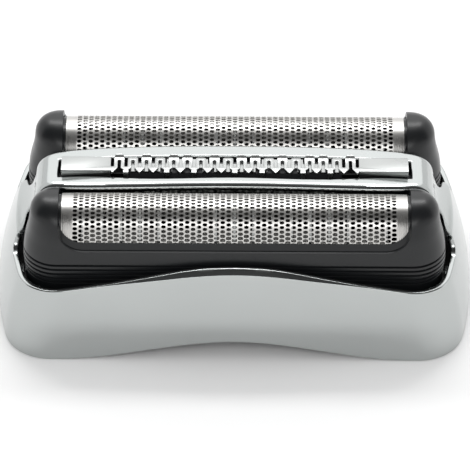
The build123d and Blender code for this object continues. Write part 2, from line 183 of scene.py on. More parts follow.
class FoilSizes(bpy.types.PropertyGroup):
    """Sizes of the two perforated foils"""

    columns: bpy.props.IntProperty(name="Columns", description="Columns of holes along the foil", default=55)
    rows: bpy.props.IntProperty(name="Rows", description="Holes in a column", default=23)
    pitch: bpy.props.FloatProperty(
        name="Pitch", description="Distance of columns along the foil", default=0.735 * MM, unit="LENGTH"
    )
    row_pitch: bpy.props.FloatProperty(
        name="Row pitch", description="Distance of holes in a column", default=0.575 * MM, unit="LENGTH"
    )
    hole_width: bpy.props.FloatProperty(
        name="Hole width", description="Width of a hole along the foil", default=0.56 * MM, unit="LENGTH"
    )
    hole_height: bpy.props.FloatProperty(
        name="Hole height", description="Height of a hole round the arch", default=0.42 * MM, unit="LENGTH"
    )
    sheet: bpy.props.FloatProperty(
        name="Sheet", description="Thickness of the foil", default=0.12 * MM, unit="LENGTH"
    )


class TrimmerSizes(bpy.types.PropertyGroup):
    """Sizes of the trimmer's guard comb"""

    loops: bpy.props.IntProperty(name="Loops", description="Loops of the guard", default=18)
    pitch: bpy.props.FloatProperty(
        name="Pitch", description="Distance between loops", default=1.716 * MM, unit="LENGTH"
    )
    stroke: bpy.props.FloatProperty(
        name="Stroke", description="Width of the bent strip", default=0.45 * MM, unit="LENGTH"
    )
    sheet: bpy.props.FloatProperty(
        name="Sheet", description="Thickness of the guard", default=0.3 * MM, unit="LENGTH"
    )
    peak: bpy.props.FloatProperty(
        name="Peak", description="How far the round loops bend up", default=0.28 * MM, unit="LENGTH"
    )


class SpringSizes(bpy.types.PropertyGroup):
    """Sizes of the coil springs"""

    wire: bpy.props.FloatProperty(
        name="Wire", description="Diameter of the wire", default=0.34 * MM, unit="LENGTH"
    )
    radius: bpy.props.FloatProperty(
        name="Radius", description="Radius of the coil to the wire's middle", default=1.3 * MM, unit="LENGTH"
    )


class FinishColours(bpy.types.PropertyGroup):
    """Colours of the finishes"""

    plating: bpy.props.FloatVectorProperty(
        name="Plating", description="Satin plating of the frame", default=(0.475, 0.495, 0.49, 1.0), size=4,
        subtype="COLOR", min=0.0, max=1.0,
    )
    black: bpy.props.FloatVectorProperty(
        name="Black plastic", description="Carriers", default=(0.008, 0.009, 0.010, 1.0), size=4,
        subtype="COLOR", min=0.0, max=1.0,
    )
    foil: bpy.props.FloatVectorProperty(
        name="Foil steel", description="Foils", default=(0.63, 0.62, 0.60, 1.0), size=4,
        subtype="COLOR", min=0.0, max=1.0,
    )
    steel: bpy.props.FloatVectorProperty(
        name="Ground steel", description="Guard comb, blades and springs", default=(0.39, 0.40, 0.395, 1.0),
        size=4, subtype="COLOR", min=0.0, max=1.0,
    )
    inner: bpy.props.FloatVectorProperty(
        name="Inner plastic", description="Chassis, trimmer holder and slider",
        default=(0.022, 0.023, 0.025, 1.0), size=4, subtype="COLOR", min=0.0, max=1.0,
    )
    drive: bpy.props.FloatVectorProperty(
        name="Drive plastic", description="Drive carrier and spines", default=(0.62, 0.61, 0.58, 1.0),
        size=4, subtype="COLOR", min=0.0, max=1.0,
    )


class StageSettings(bpy.types.PropertyGroup):
    """Camera, lamps and floor"""

    elevation: bpy.props.FloatProperty(
        name="Elevation", description="Camera height angle", default=math.radians(40.0), subtype="ANGLE"
    )
    roll: bpy.props.FloatProperty(
        name="Roll", description="Camera roll", default=math.radians(0.3), subtype="ANGLE"
    )
    distance: bpy.props.FloatProperty(
        name="Distance", description="Camera distance from its target", default=480.0 * MM, unit="LENGTH"
    )
    lens: bpy.props.FloatProperty(
        name="Lens", description="Focal length in millimetres of a 36 mm sensor", default=286.8
    )
    target: bpy.props.FloatVectorProperty(
        name="Target", description="Point in the middle of the picture", default=(0.06 * MM, 0.0, 7.83 * MM),
        size=3, subtype="XYZ", unit="LENGTH",
    )
    key_power: bpy.props.FloatProperty(
        name="Key lamp", description="Power of the lamp above", default=1.6
    )
    strip_power: bpy.props.FloatProperty(
        name="Strip lamp", description="Power of the narrow lamp", default=1.6
    )
    front_power: bpy.props.FloatProperty(
        name="Front lamp", description="Power of the lamp in front", default=1.1
    )
    room: bpy.props.FloatProperty(
        name="Room light", description="Strength of the even light", default=0.72
    )


GROUPS = (
    ("head_frame", FrameSizes),
    ("head_carrier", CarrierSizes),
    ("head_foil", FoilSizes),
    ("head_trimmer", TrimmerSizes),
    ("head_spring", SpringSizes),
    ("head_colours", FinishColours),
    ("head_stage", StageSettings),
)


# Mesh helpers


def smooth_curve(value, knots, levels):
    """Curve through the knots that has no corner at any of them."""
    knots = np.asarray(knots, float)
    levels = np.asarray(levels, float)
    slopes = np.gradient(levels, knots)
    value = np.clip(value, knots[0], knots[-1])
    index = np.clip(np.searchsorted(knots, value) - 1, 0, len(knots) - 2)
    span = knots[index + 1] - knots[index]
    t = (value - knots[index]) / span
    start = (1 + 2 * t) * (1 - t) ** 2 * levels[index] + t * (1 - t) ** 2 * span * slopes[index]
    end = t * t * (3 - 2 * t) * levels[index + 1] + t * t * (t - 1) * span * slopes[index + 1]
    return start + end


def ease(value):
    """Smooth step from 0 to 1."""
    value = np.clip(value, 0.0, 1.0)
    return value * value * (3 - 2 * value)


def mesh_object(name, points, faces):
    """New object of these points and faces."""
    mesh = bpy.data.meshes.new(name)
    mesh.from_pydata([tuple(float(v) for v in point) for point in points], [], faces)
    mesh.validate()
    piece = bpy.data.objects.new(name, mesh)
    bpy.context.scene.collection.objects.link(piece)
    return piece


def bake(piece):
    """Replaces the piece's mesh by the result of its modifiers."""
    graph = bpy.context.evaluated_depsgraph_get()
    result = bpy.data.meshes.new_from_object(piece.evaluated_get(graph))
    old = piece.data
    piece.modifiers.clear()
    piece.data = result
    bpy.data.meshes.remove(old)
    return piece


def cut(piece, tool, operation):
    """Joins the tool to the piece or cuts it away, and removes the tool."""
    step = piece.modifiers.new("cut", "BOOLEAN")
    step.operation = operation
    step.solver = "MANIFOLD"
    step.object = tool
    bake(piece)
    bpy.data.objects.remove(tool)
    return piece


def block_points(low, high):
    """Corners of a block between two corners."""
    x0, y0, z0 = low
    x1, y1, z1 = high
    base = ((x0, y0), (x1, y0), (x1, y1), (x0, y1))
    return [(x, y, z0) for x, y in base] + [(x, y, z1) for x, y in base]


BLOCK_FACES = [(3, 2, 1, 0), (4, 5, 6, 7), (0, 1, 5, 4), (1, 2, 6, 5), (2, 3, 7, 6), (3, 0, 4, 7)]


def blocks(name, corner_sets):
    """One object of several separate blocks, each given by its eight corners."""
    points = []
    faces = []
    for corners in corner_sets:
        start = len(points)
        points += list(corners)
        faces += [tuple(start + i for i in face) for face in BLOCK_FACES]
    piece = mesh_object(name, points, faces)
    turn_outwards(piece)
    return piece


def turn_outwards(piece):
    """Turns every closed shell's faces outwards."""
    shell = bmesh.new()
    shell.from_mesh(piece.data)
    bmesh.ops.recalc_face_normals(shell, faces=shell.faces)
    shell.to_mesh(piece.data)
    shell.free()


def weld(piece, distance):
    """Joins points that lie on each other."""
    shell = bmesh.new()
    shell.from_mesh(piece.data)
    bmesh.ops.remove_doubles(shell, verts=shell.verts, dist=distance)
    bmesh.ops.dissolve_degenerate(shell, edges=shell.edges, dist=distance)
    shell.to_mesh(piece.data)
    shell.free()


def finish_piece(piece, body, material, nodes, angle=35.0):
    """Shades the piece, gives it its finish and lets it ride on its body in place of its solids."""
    for face in piece.data.polygons:
        face.use_smooth = True
    piece.data.set_sharp_from_angle(angle=math.radians(angle))
    piece.data.materials.clear()
    piece.data.materials.append(material)
    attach(piece, body)
    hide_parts(*nodes)
    return piece


# Plated frame


# How far the frame's skin leans inwards at these heights, in millimetres
LEAN_HEIGHTS = (-1.0, 0.0, 3.5, 8.5, 12.5, 21.0)
END_LEANS = (0.03, 0.03, 0.22, 1.37, 2.72, 6.1)
FRONT_LEANS = (0.06, 0.04, 0.03, 0.26, 0.75, 2.4)


def skin_point(kind, share, height, sizes):
    """Point of the frame's outer skin in its front right quarter.

    The kinds run from the middle of the front to the middle of the end: front, corner, end, sweep, pillar.
    """
    half_x = FRAME_HIGH.x - smooth_curve(height / MM, LEAN_HEIGHTS, END_LEANS) * MM
    half_y = FRAME_HIGH.y - smooth_curve(height / MM, LEAN_HEIGHTS, FRONT_LEANS) * MM
    bow = sizes.end_bow
    end_radius = (half_y**2 + bow**2) / (2 * bow)
    end_centre = half_x - end_radius
    corner = sizes.corner
    corner_y = -half_y + corner
    corner_x = end_centre + math.sqrt((end_radius - corner) ** 2 - corner_y**2)
    turn = math.atan2(corner_y, corner_x - end_centre)
    if kind == "front":
        return share * corner_x, -half_y
    if kind == "corner":
        angle = -math.pi / 2 + share * (turn + math.pi / 2)
        return corner_x + corner * math.cos(angle), corner_y + corner * math.sin(angle)
    sweep_start = -(sizes.pillar_foot + sizes.sweep)
    if kind == "end":
        y = end_radius * math.sin(turn)
        y += share * (sweep_start - y)
    elif kind == "sweep":
        y = sweep_start + math.sin(share * math.pi / 2) * sizes.sweep
    else:
        y = -sizes.pillar_foot * (1 - share)
    return end_centre + math.sqrt(end_radius**2 - y**2), y


# Steps of the frame's mesh along each stretch of a quarter
WALL_STEPS = (("front", 40), ("corner", 18), ("end", 6))
# Share of the rim's turn into a pillar that is round; one straight face ends it
SWEEP_SHARE = 0.78
SWEEP_STEPS = 9
# Share of a pillar's half width that runs on into the window
WINDOW_SHARE = 0.34
STRIP_STEPS = 5
WINDOW_STEPS = 3


def quarter_columns():
    """Columns of one quarter of the frame, from the middle of the front to the middle of the end."""
    columns = []
    for kind, steps in WALL_STEPS:
        columns += [(kind, share) for share in np.linspace(0, 1, steps + 1)[:-1]]
    columns += [("sweep", share) for share in np.linspace(0, SWEEP_SHARE, SWEEP_STEPS + 1)]
    strip = np.linspace(0, 1 - WINDOW_SHARE, STRIP_STEPS + 1)[:-1]
    window = np.linspace(1 - WINDOW_SHARE, 1, WINDOW_STEPS + 1)
    columns += [("pillar", share) for share in np.concatenate((strip, window))]
    return columns


def ring_columns():
    """All columns round the frame as (kind, share, x side, y side), starting in the middle of the front."""
    quarter = quarter_columns()
    ring = [(kind, share, 1, 1) for kind, share in quarter]
    ring += [(kind, share, 1, -1) for kind, share in reversed(quarter[:-1])]
    ring += [(kind, share, -1, -1) for kind, share in quarter[1:]]
    ring += [(kind, share, -1, 1) for kind, share in reversed(quarter[1:-1])]
    return ring


# Height over which the front rim's slope runs into the level end rim
RIM_BLEND = 0.35 * MM
# Keeps the exponential of the blend within range
LARGEST_POWER = 60.0


def rim_height(kind, share, x, sizes):
    """Height of the frame's rim over one column."""
    tangent = sizes.rim_radius * sizes.rim_slope / math.sqrt(1 + sizes.rim_slope**2)
    round_x = min(abs(x), tangent)
    arc = sizes.front_rim - (sizes.rim_radius - math.sqrt(sizes.rim_radius**2 - round_x**2))
    arc -= sizes.rim_slope * (abs(x) - round_x)
    gap = min((arc - sizes.end_rim) / RIM_BLEND, LARGEST_POWER)
    height = sizes.end_rim + RIM_BLEND * math.log1p(math.exp(gap))
    if kind == "sweep":
        height += sizes.sweep * (1 - math.cos(share * math.pi / 2))
    elif kind == "pillar":
        height += sizes.sweep
    return height


def skin_direction(kind, share, height, sizes):
    """Outward direction of the frame's skin in plan."""
    step = 0.01
    x0, y0 = skin_point(kind, share - step, height, sizes)
    x1, y1 = skin_point(kind, share + step, height, sizes)
    length = math.hypot(x1 - x0, y1 - y0)
    return (y1 - y0) / length, (x0 - x1) / length


# Half length of the crest's full section, and the run over which it fades, in millimetres
CREST_HALF = 4.0
CREST_FADE = 14.0


def rim_section(kind, x, sizes):
    """Inset and drop of the sloped face outside the rim, the width of the rim's top and its rise inwards."""
    if kind == "pillar":
        return 0.0, 0.3 * MM, 0.0, 0.0
    crest = 0.0
    if kind == "front":
        crest = 1.0 - float(ease((abs(x) / MM - CREST_HALF) / CREST_FADE))
    plain = 0.05 * MM if kind == "sweep" else 0.12 * MM
    inset = plain + crest * (sizes.crest_inset - plain)
    drop = plain + crest * (sizes.crest_drop - plain)
    narrowing = 0.11 * MM
    rise = 0.07 * MM
    return inset, drop, sizes.rim_width - crest * narrowing, crest * rise


# Keeps the rounded lower edge just above the floor
FOOT_GAP = 0.02 * MM


# Share of the frame's half length that the arch under a long side takes up
BELLY_SHARE = 0.72


def belly_height(x, sizes):
    """Height of the frame's lower edge."""
    t = min(abs(x) / (BELLY_SHARE * FRAME_HIGH.x), 1.0)
    return FOOT_GAP + sizes.belly * (1 - 3 * t * t + 2 * t**3)


# Rows of the wall up to the band under the rim
LOW_ROWS = 22
# Distance of the last even row from the rim
RIM_BAND = 1.0 * MM
# Heights at which a column's x decides its lower edge and its rim
BELLY_LEVEL = 6.0 * MM
RIM_LEVEL = 11.0 * MM


def wall_grid(sizes):
    """Columns round the frame, their points from the lower edge to the rim, and the rim's inner points.

    The inner points belong to the last two points of a column. Columns under a pillar have none.
    """
    ring = ring_columns()
    grid = []
    inside = []
    for kind, share, x_side, y_side in ring:
        x_low, _ = skin_point(kind, share, BELLY_LEVEL, sizes)
        low = belly_height(x_low, sizes)
        x_rim, _ = skin_point(kind, share, RIM_LEVEL, sizes)
        high = rim_height(kind, share, x_rim, sizes)
        inset, drop, width, rise = rim_section(kind, x_rim, sizes)
        column = []
        for level in list(np.linspace(low, high - RIM_BAND, LOW_ROWS)) + [high - drop]:
            x, y = skin_point(kind, share, level, sizes)
            column.append((x_side * x, y_side * y, level))
        x, y = skin_point(kind, share, high, sizes)
        out_x, out_y = skin_direction(kind, share, high, sizes)
        column.append((x_side * (x - inset * out_x), y_side * (y - inset * out_y), high))
        grid.append(column)
        x -= (inset + width) * out_x
        y -= (inset + width) * out_y
        ends = [(x_side * x, y_side * y, high - drop), (x_side * x, y_side * y, high + rise)]
        inside.append([] if kind == "pillar" else ends)
    return ring, grid, inside


# Half width of the bridge's crown at these places along X, in millimetres
CROWN_PLACES = (0.0, 14.0, 17.5, 21.2, 22.9, 24.0)
CROWN_HALVES = (4.15, 4.13, 4.03, 3.75, 3.5, 3.3)
# Heights at which a pillar's half width is set, in millimetres
PILLAR_HEIGHTS = (9.0, 12.6, 13.1, 13.6, 14.2, 15.4, 16.4, 17.2)


def bridge_half_width(x, z, on_pillar, sizes):
    """Half width of the crown, or of a pillar, which is widest at its foot and narrowest in its notches."""
    if not on_pillar:
        return float(smooth_curve(x / MM, CROWN_PLACES, CROWN_HALVES)) * MM
    foot = sizes.pillar_foot / MM
    notch = sizes.pillar_half / MM
    halves = (foot, foot, foot - 0.4, notch + 0.6, notch, notch + 0.25, notch + 0.75, CROWN_HALVES[-1])
    return float(smooth_curve(z / MM, PILLAR_HEIGHTS, halves)) * MM


# Lean of the pillars, slope of the crown beside them, and its fall from the middle to their tops
PILLAR_LEAN = 0.12
CROWN_SLOPE = 0.067
CROWN_FALL = 0.9 * MM
# Place and radius of the round corner between a pillar and the crown
SHOULDER_X = 24.95 * MM
SHOULDER_RADIUS = 2.9 * MM
PILLAR_STEPS = 19
SHOULDER_STEPS = 12
CROWN_STEPS = 27


def bridge_stations(sizes):
    """Half of the bridge's outer line from the pillar to the middle, as (x, z, half width, pillar share)."""
    crown_top = FRAME_HIGH.z
    corner = Vector((SHOULDER_X, crown_top - CROWN_FALL))
    rise = Vector((-PILLAR_LEAN, 1.0)).normalized()
    run = Vector((-1.0, CROWN_SLOPE)).normalized()
    turn = rise.angle(run)
    start = corner - rise * (SHOULDER_RADIUS * math.tan(turn / 2))
    centre = start + Vector((-rise.y, rise.x)) * SHOULDER_RADIUS
    foot = sizes.end_rim + sizes.sweep + 0.2 * MM
    line = []
    for share in np.linspace(0, 1, PILLAR_STEPS + 1)[1:-1]:
        z = foot + share * (start.y - foot)
        line.append((start.x + (start.y - z) * PILLAR_LEAN, z, 1.0 - share))
    first = math.atan2(start.y - centre.y, start.x - centre.x)
    for angle in first + turn * np.linspace(0, 1, SHOULDER_STEPS + 1):
        x = centre.x + SHOULDER_RADIUS * math.cos(angle)
        line.append((x, centre.y + SHOULDER_RADIUS * math.sin(angle), 0.0))
    for x in np.linspace(sizes.window_half, 0, CROWN_STEPS + 1):
        line.append((x, crown_top - CROWN_FALL * (x / corner.x) ** 2, 0.0))
    return [(x, z, bridge_half_width(x, z, pillar > 0, sizes), pillar) for x, z, pillar in line]


# Radius of the crown's front and rear edges, and the share of it that the edge is round over
FRONT_EDGE = 0.8 * MM
REAR_EDGE = 0.5 * MM
EDGE_SHARE = 0.86


def edge_drop(y, half):
    """Fall of the bridge's round front edge, or of its flatter rear edge, below the crown."""
    radius = FRONT_EDGE if y < 0 else REAR_EDGE
    over = min(max(abs(y) - (half - radius), 0.0), EDGE_SHARE * radius)
    return radius - math.sqrt(radius**2 - over**2)


# Distance of the window's front and rear edges from the middle, at these places along X, in millimetres
FRONT_PLACES = (0.0, 12.5, 14.5, 17.5, 22.8, 26.0)
FRONT_GAPS = (2.42, 2.4, 2.2, 1.85, 1.65, 1.7)
REAR_PLACES = (0.0, 22.8, 26.0)
REAR_GAPS = (1.75, 1.75, 1.7)
# Radius to which the pillars are bowed
PILLAR_BOW = 45.0 * MM


def bridge_row(station, x_side, sizes):
    """Points across the bridge at one station, from the front edge to the rear edge."""
    x, z, half, pillar = station
    front = float(smooth_curve(x / MM, FRONT_PLACES, FRONT_GAPS))
    rear = float(smooth_curve(x / MM, REAR_PLACES, REAR_GAPS))
    strip = np.linspace(0, 1, STRIP_STEPS + 1)
    window = np.linspace(0, 1, 2 * WINDOW_STEPS + 1)
    ys = list(-half + strip * (half - front * MM))
    ys += list(-front * MM + window[1:-1] * (front + rear) * MM)
    ys += list(rear * MM + strip * (half - rear * MM))
    skin_x, _ = skin_point("pillar", 1.0, z, sizes)
    outer = x + pillar**1.5 * (skin_x - x)
    points = []
    for y in ys:
        bow = pillar * y * y / (2 * PILLAR_BOW)
        camber = (1.0 - pillar) * edge_drop(y, half)
        points.append((x_side * (outer - bow), y, z - camber))
    return points


# Share of the bridge's depth along its sides, at these heights in millimetres
SIDE_HEIGHTS = (11.0, 13.0, 15.2, 16.4, 18.3, 19.0)
SIDE_SHARES = (0.43, 0.37, 0.37, 0.72, 0.72, 0.48)


def bridge_thickness(station, y):
    """Share of the bridge's depth at a point, least at the sides of the crown and at the pillars' feet."""
    _, z, half, pillar = station
    side = float(smooth_curve(z / MM, SIDE_HEIGHTS, SIDE_SHARES))
    middle = 1.0 - 0.27 * float(ease(pillar / 0.2))
    return side + (max(middle, side) - side) * float(ease((1.0 - abs(y) / half) / 0.24))


# Thickness of the wall's last two rows under the rim, as a share of the wall
RIM_SHARES = (0.75, 0.65)


def wall_faces(count, rows):
    """Faces of the wall's columns, closed round the frame."""
    faces = []
    for index in range(count):
        following = (index + 1) % count
        for row in range(rows - 1):
            left = index * rows + row
            right = following * rows + row
            faces.append((left, right, right + 1, left + 1))
    return faces


def pillar_tops(ring, grid, x_side):
    """Points of the rim under one pillar, from front to rear."""
    rows = len(grid[0])
    pillar = [i for i, column in enumerate(ring) if column[0] == "pillar" and column[2] == x_side]
    pillar.sort(key=lambda i: grid[i][-1][1])
    return [i * rows + rows - 1 for i in pillar]


def frame_mesh(sizes):
    """Outer skin of wall and bridge as one sheet, a thickness share for each point, and set inner points."""
    ring, grid, inside = wall_grid(sizes)
    rows = len(grid[0])
    wall_share = sizes.wall / sizes.bridge_depth
    points = []
    thickness = []
    inner = {}
    for column, ends in zip(grid, inside):
        points += column
        for place, end in enumerate(ends):
            inner[len(points) - len(ends) + place] = end
        thickness += [wall_share] * (rows - len(RIM_SHARES))
        thickness += [share * wall_share for share in RIM_SHARES]
    faces = wall_faces(len(ring), rows)
    half = bridge_stations(sizes)
    line = [(station, 1) for station in half] + [(station, -1) for station in reversed(half[:-1])]
    places = range(2 * (STRIP_STEPS + WINDOW_STEPS))
    previous = pillar_tops(ring, grid, 1)
    before = FRAME_HIGH.x
    for station, x_side in line:
        row = []
        for point in bridge_row(station, x_side, sizes):
            row.append(len(points))
            points.append(point)
            thickness.append(bridge_thickness(station, point[1]))
        over_window = max(before, station[0]) < sizes.window_half + 0.01 * MM
        for place in places:
            in_window = STRIP_STEPS <= place < STRIP_STEPS + 2 * WINDOW_STEPS
            if not (in_window and over_window):
                faces.append((previous[place], previous[place + 1], row[place + 1], row[place]))
        previous = row
        before = station[0]
    final = pillar_tops(ring, grid, -1)
    for place in places:
        faces.append((previous[place], previous[place + 1], final[place + 1], final[place]))
    return points, faces, thickness, inner


# Half width, distances of both ends from the middle, and heights of each ledge's faces, in millimetres
CARRIER_STOP = (0.8, 26.6, 28.1, 8.3, 8.9)
CHASSIS_SEAT = (1.5, 27.0, 29.0, 3.4, 4.4)
# Latch pockets in the ends
POCKET_HALF = 3.0 * MM
POCKET_HEIGHTS = (1.4 * MM, 3.0 * MM)
POCKET_DEPTH = 0.7 * MM


def frame_details(sizes):
    """Stops over the carriers' flanges, seats under the chassis, and the latch pockets' cutters."""
    added = []
    pockets = []
    for x_side in (-1, 1):
        for y_side in (-1, 1):
            middle = y_side * FOIL_OFFSET
            for half, inner, outer, low, high in (CARRIER_STOP, CHASSIS_SEAT):
                added.append(block_points(
                    (min(x_side * inner, x_side * outer) * MM, middle - half * MM, low * MM),
                    (max(x_side * inner, x_side * outer) * MM, middle + half * MM, high * MM),
                ))
        x = x_side * (FRAME_HIGH.x - sizes.wall)
        pockets.append(block_points(
            (x - POCKET_DEPTH / 2, -POCKET_HALF, POCKET_HEIGHTS[0]),
            (x + POCKET_DEPTH / 2, POCKET_HALF, POCKET_HEIGHTS[1]),
        ))
    return blocks("frame_ledges", added), blocks("latch_pockets", pockets)


# Edges below the first angle stay sharp, and those below the second are rounded less, in degrees
FLAT_EDGE = 22.0
SHALLOW_EDGE = 55.0
SHALLOW_WEIGHT = 0.3
FOOT_WEIGHT = 0.4


def round_edges(piece, sizes):
    """Rounds the frame's edges, less at shallow edges and at the pillars' feet."""
    shell = bmesh.new()
    shell.from_mesh(piece.data)
    layer = shell.edges.layers.float.new("bevel_weight_edge")
    foot_half = sizes.pillar_foot + sizes.sweep
    foot_low = sizes.end_rim - 1.0 * MM
    foot_high = sizes.end_rim + sizes.sweep + 2.5 * MM
    for edge in shell.edges:
        angle = math.degrees(edge.calc_face_angle(0.0))
        middle = (edge.verts[0].co + edge.verts[1].co) / 2
        if angle < FLAT_EDGE:
            edge[layer] = 0.0
        elif angle < SHALLOW_EDGE:
            edge[layer] = SHALLOW_WEIGHT
        elif abs(middle.y) < foot_half and foot_low < middle.z < foot_high:
            edge[layer] = FOOT_WEIGHT
        else:
            edge[layer] = 1.0
    shell.to_mesh(piece.data)
    shell.free()
    step = piece.modifiers.new("round", "BEVEL")
    step.width = sizes.edge
    step.segments = 3
    step.limit_method = "WEIGHT"
    step.use_clamp_overlap = False
    bake(piece)


def build_frame(sizes, material):
    """Wall with its rim, the bridge over the middle, ledges inside and latch pockets."""
    points, faces, thickness, inner = frame_mesh(sizes)
    piece = mesh_object("frame_shell", points, faces)
    turn_outwards(piece)
    group = piece.vertex_groups.new(name="thickness")
    for index, share in enumerate(thickness):
        group.add([index], share, "REPLACE")
    wall = piece.modifiers.new("wall", "SOLIDIFY")
    wall.thickness = sizes.bridge_depth
    wall.offset = -1.0
    wall.vertex_group = group.name
    wall.use_even_offset = False
    bake(piece)
    for index, point in inner.items():
        piece.data.vertices[index + len(points)].co = point
    round_edges(piece, sizes)
    ledges, pockets = frame_details(sizes)
    cut(piece, ledges, "UNION")
    cut(piece, pockets, "DIFFERENCE")
    return finish_piece(piece, "base", material, ["outer_frame"])


# Foil carriers


# Half width of a carrier at these heights below the foil's axis, in millimetres
SKIRT_LEVELS = (-9.0, -3.4, -1.6, 0.0)
SKIRT_HALVES = (5.0, 5.0, 4.88, 4.7)


def carrier_half_width(level, sizes):
    """Half width of a carrier at a height, round over the top of its horns."""
    horn = FOIL_RADIUS + sizes.horn_rise
    if level >= FOIL_AXIS:
        return math.sqrt(max(horn**2 - (level - FOIL_AXIS) ** 2, 0.0))
    return float(smooth_curve((level - FOIL_AXIS) / MM, SKIRT_LEVELS, SKIRT_HALVES)) * MM


# Width of a horn along X
HORN_WIDTH = 3.5 * MM
# Where a horn's end turns over, above the foil's axis, and its round top's height and inset, in millimetres
SHOULDER_LEVEL = 2.4
ROUND_RISE = 2.3
ROUND_INSET = 2.2
# How far a carrier's end stands out past the horn at these heights from the foil's axis, in millimetres
END_LEVELS = (-9.0, -5.2, -4.2, -3.0, -1.0, 0.5, SHOULDER_LEVEL)
END_BULGES = (0.8, 0.95, 1.05, 1.05, 0.72, 0.36, 0.1)


def carrier_end(level, sizes):
    """Distance of a carrier's end from the middle at a height."""
    horn_outer = sizes.horn_inner + HORN_WIDTH
    shoulder = FOIL_AXIS + SHOULDER_LEVEL * MM
    if level > shoulder:
        rise = min((level - shoulder) / MM, ROUND_RISE) / ROUND_RISE
        return horn_outer + (ROUND_RISE * math.sqrt(max(1.0 - rise**2, 0.0)) - ROUND_INSET) * MM
    return horn_outer + float(smooth_curve((level - FOIL_AXIS) / MM, END_LEVELS, END_BULGES)) * MM


# Corner radius of a carrier in plan
CARRIER_CORNER = 4.3 * MM


def carrier_corner(level, sizes, inset):
    """Corner radius, corner centre x and side y of a carrier's outline at a height."""
    half = carrier_half_width(level, sizes) - inset
    radius = max(min(CARRIER_CORNER - inset, half), 0.0)
    return radius, carrier_end(level, sizes) - inset - radius, half


def side_y(x, level, inset, sizes):
    """Half width of a carrier's outline at x, where it runs round the corner."""
    radius, centre, half = carrier_corner(level, sizes, inset)
    over = min(max(abs(x) - centre, 0.0), radius)
    return half - radius + math.sqrt(max(radius**2 - over**2, 0.0))


# Below this radius a corner counts as sharp
NO_RADIUS = 1e-9


def horn_point(share, level, inset, sizes):
    """Point of a horn's outline from its inner face round to its end."""
    radius, centre, half = carrier_corner(level, sizes, inset)
    face = sizes.horn_inner
    straight = max(centre - face, 0.0)
    first = math.pi / 2
    if radius > NO_RADIUS:
        first = math.asin(min(max((face - centre) / radius, 0.0), 1.0))
    length = straight + radius * (math.pi / 2 - first)
    run = share * length
    if run <= straight or radius <= NO_RADIUS:
        return face + run, half
    angle = first + (run - straight) / radius
    return centre + radius * math.sin(angle), half - radius + radius * math.cos(angle)


def lip_height(x, sizes):
    """Height of the lip under the foil, running up into the horns."""
    base = FOIL_AXIS - sizes.lip
    start = sizes.horn_inner - sizes.lip_corner
    over = max(abs(x) - start, 0.0)
    return base + sizes.lip_corner - math.sqrt(max(sizes.lip_corner**2 - over**2, 0.0))


# Height of the plain band's lower edge, where the grooves begin
BAND_FOOT = FOIL_AXIS - 2.36 * MM


# Chamfer round the skirt's foot
FOOT_CHAMFER = 0.12 * MM


def skirt_rows(sizes):
    """Heights and insets of the rows of the grooved skirt, from below."""
    top = BAND_FOOT - 0.04 * MM
    deep = sizes.groove_depth
    rounding = 0.06 * MM
    rows = [(CARRIER_LOW.z, FOOT_CHAMFER), (CARRIER_LOW.z + FOOT_CHAMFER, 0.0)]
    for index in range(sizes.grooves - 1, -1, -1):
        level = top - index * sizes.groove_pitch
        rows += [
            (level - 0.34 * MM, 0.0),
            (level - 0.30 * MM, rounding),
            (level - 0.27 * MM, deep),
            (level - 0.07 * MM, deep),
            (level - 0.04 * MM, rounding),
            (level, 0.0),
        ]
    return rows


class ShellBuilder:
    """Collects points and faces of a closed shell."""

    def __init__(self):
        self.points = []
        self.faces = []

    def point(self, x, y, z):
        """Adds a point and returns its number."""
        self.points.append((x, y, z))
        return len(self.points) - 1

    def skin(self, first, second):
        """Quads between two columns of points."""
        for row in range(len(first) - 1):
            self.faces.append((first[row], second[row], second[row + 1], first[row + 1]))

    def tidy_faces(self):
        """Faces with repeated corners left out."""
        kept = []
        for face in self.faces:
            corners = list(dict.fromkeys(face))
            if len(corners) > 2:
                kept.append(tuple(corners))
        return kept


# Steps of a carrier's mesh
BAND_ROWS = 9
DOME_ROWS = 16
HORN_COLUMNS = 15
INNER_ROWS = 8
# How far the narrow face on the lip's edge and the ledge above it look upwards, in degrees
LIP_ANGLE = 43.0
LEDGE_ANGLE = 85.0
# Gap between a carrier's inside and the foil's skin, and the height down to which the inside is drawn finely
FOIL_GAP = 0.03 * MM
INNER_FOOT = 12.0 * MM


def wall_column(shell, x, y_side, sizes):
    """One closed column of a carrier's long side: its outer points, and those over the lip and inside."""
    lip = lip_height(x, sizes)
    edge = sizes.edge
    outer = []
    for level, inset in skirt_rows(sizes):
        outer.append(shell.point(x, y_side * side_y(x, level, inset, sizes), level))
    for share in np.linspace(0, 1, BAND_ROWS):
        level = BAND_FOOT + share * (lip - edge - BAND_FOOT)
        outer.append(shell.point(x, y_side * side_y(x, level, 0.0, sizes), level))
    rest = []
    for angle in (15.0, 30.0, LIP_ANGLE):
        turn = math.radians(angle)
        level = lip - edge + edge * math.sin(turn)
        inset = edge * (1 - math.cos(turn))
        rest.append(shell.point(x, y_side * (side_y(x, level, 0.0, sizes) - inset), level))
    for angle, width in ((LIP_ANGLE, sizes.lip_face), (LEDGE_ANGLE, sizes.ledge)):
        level += width * math.cos(math.radians(angle))
        inset += width * math.sin(math.radians(angle))
        rest.append(shell.point(x, y_side * (side_y(x, lip, 0.0, sizes) - inset), level))
    inner = FOIL_RADIUS + FOIL_GAP
    top = min(lip + sizes.bezel, FOIL_AXIS + inner - 0.02 * MM)
    for share in np.linspace(0, 1, INNER_ROWS):
        level = top + share * (INNER_FOOT - top)
        above = max(level - FOIL_AXIS, 0.0)
        rest.append(shell.point(x, y_side * math.sqrt(inner**2 - above**2), level))
    rest.append(shell.point(x, y_side * inner, CARRIER_LOW.z))
    return outer, rest


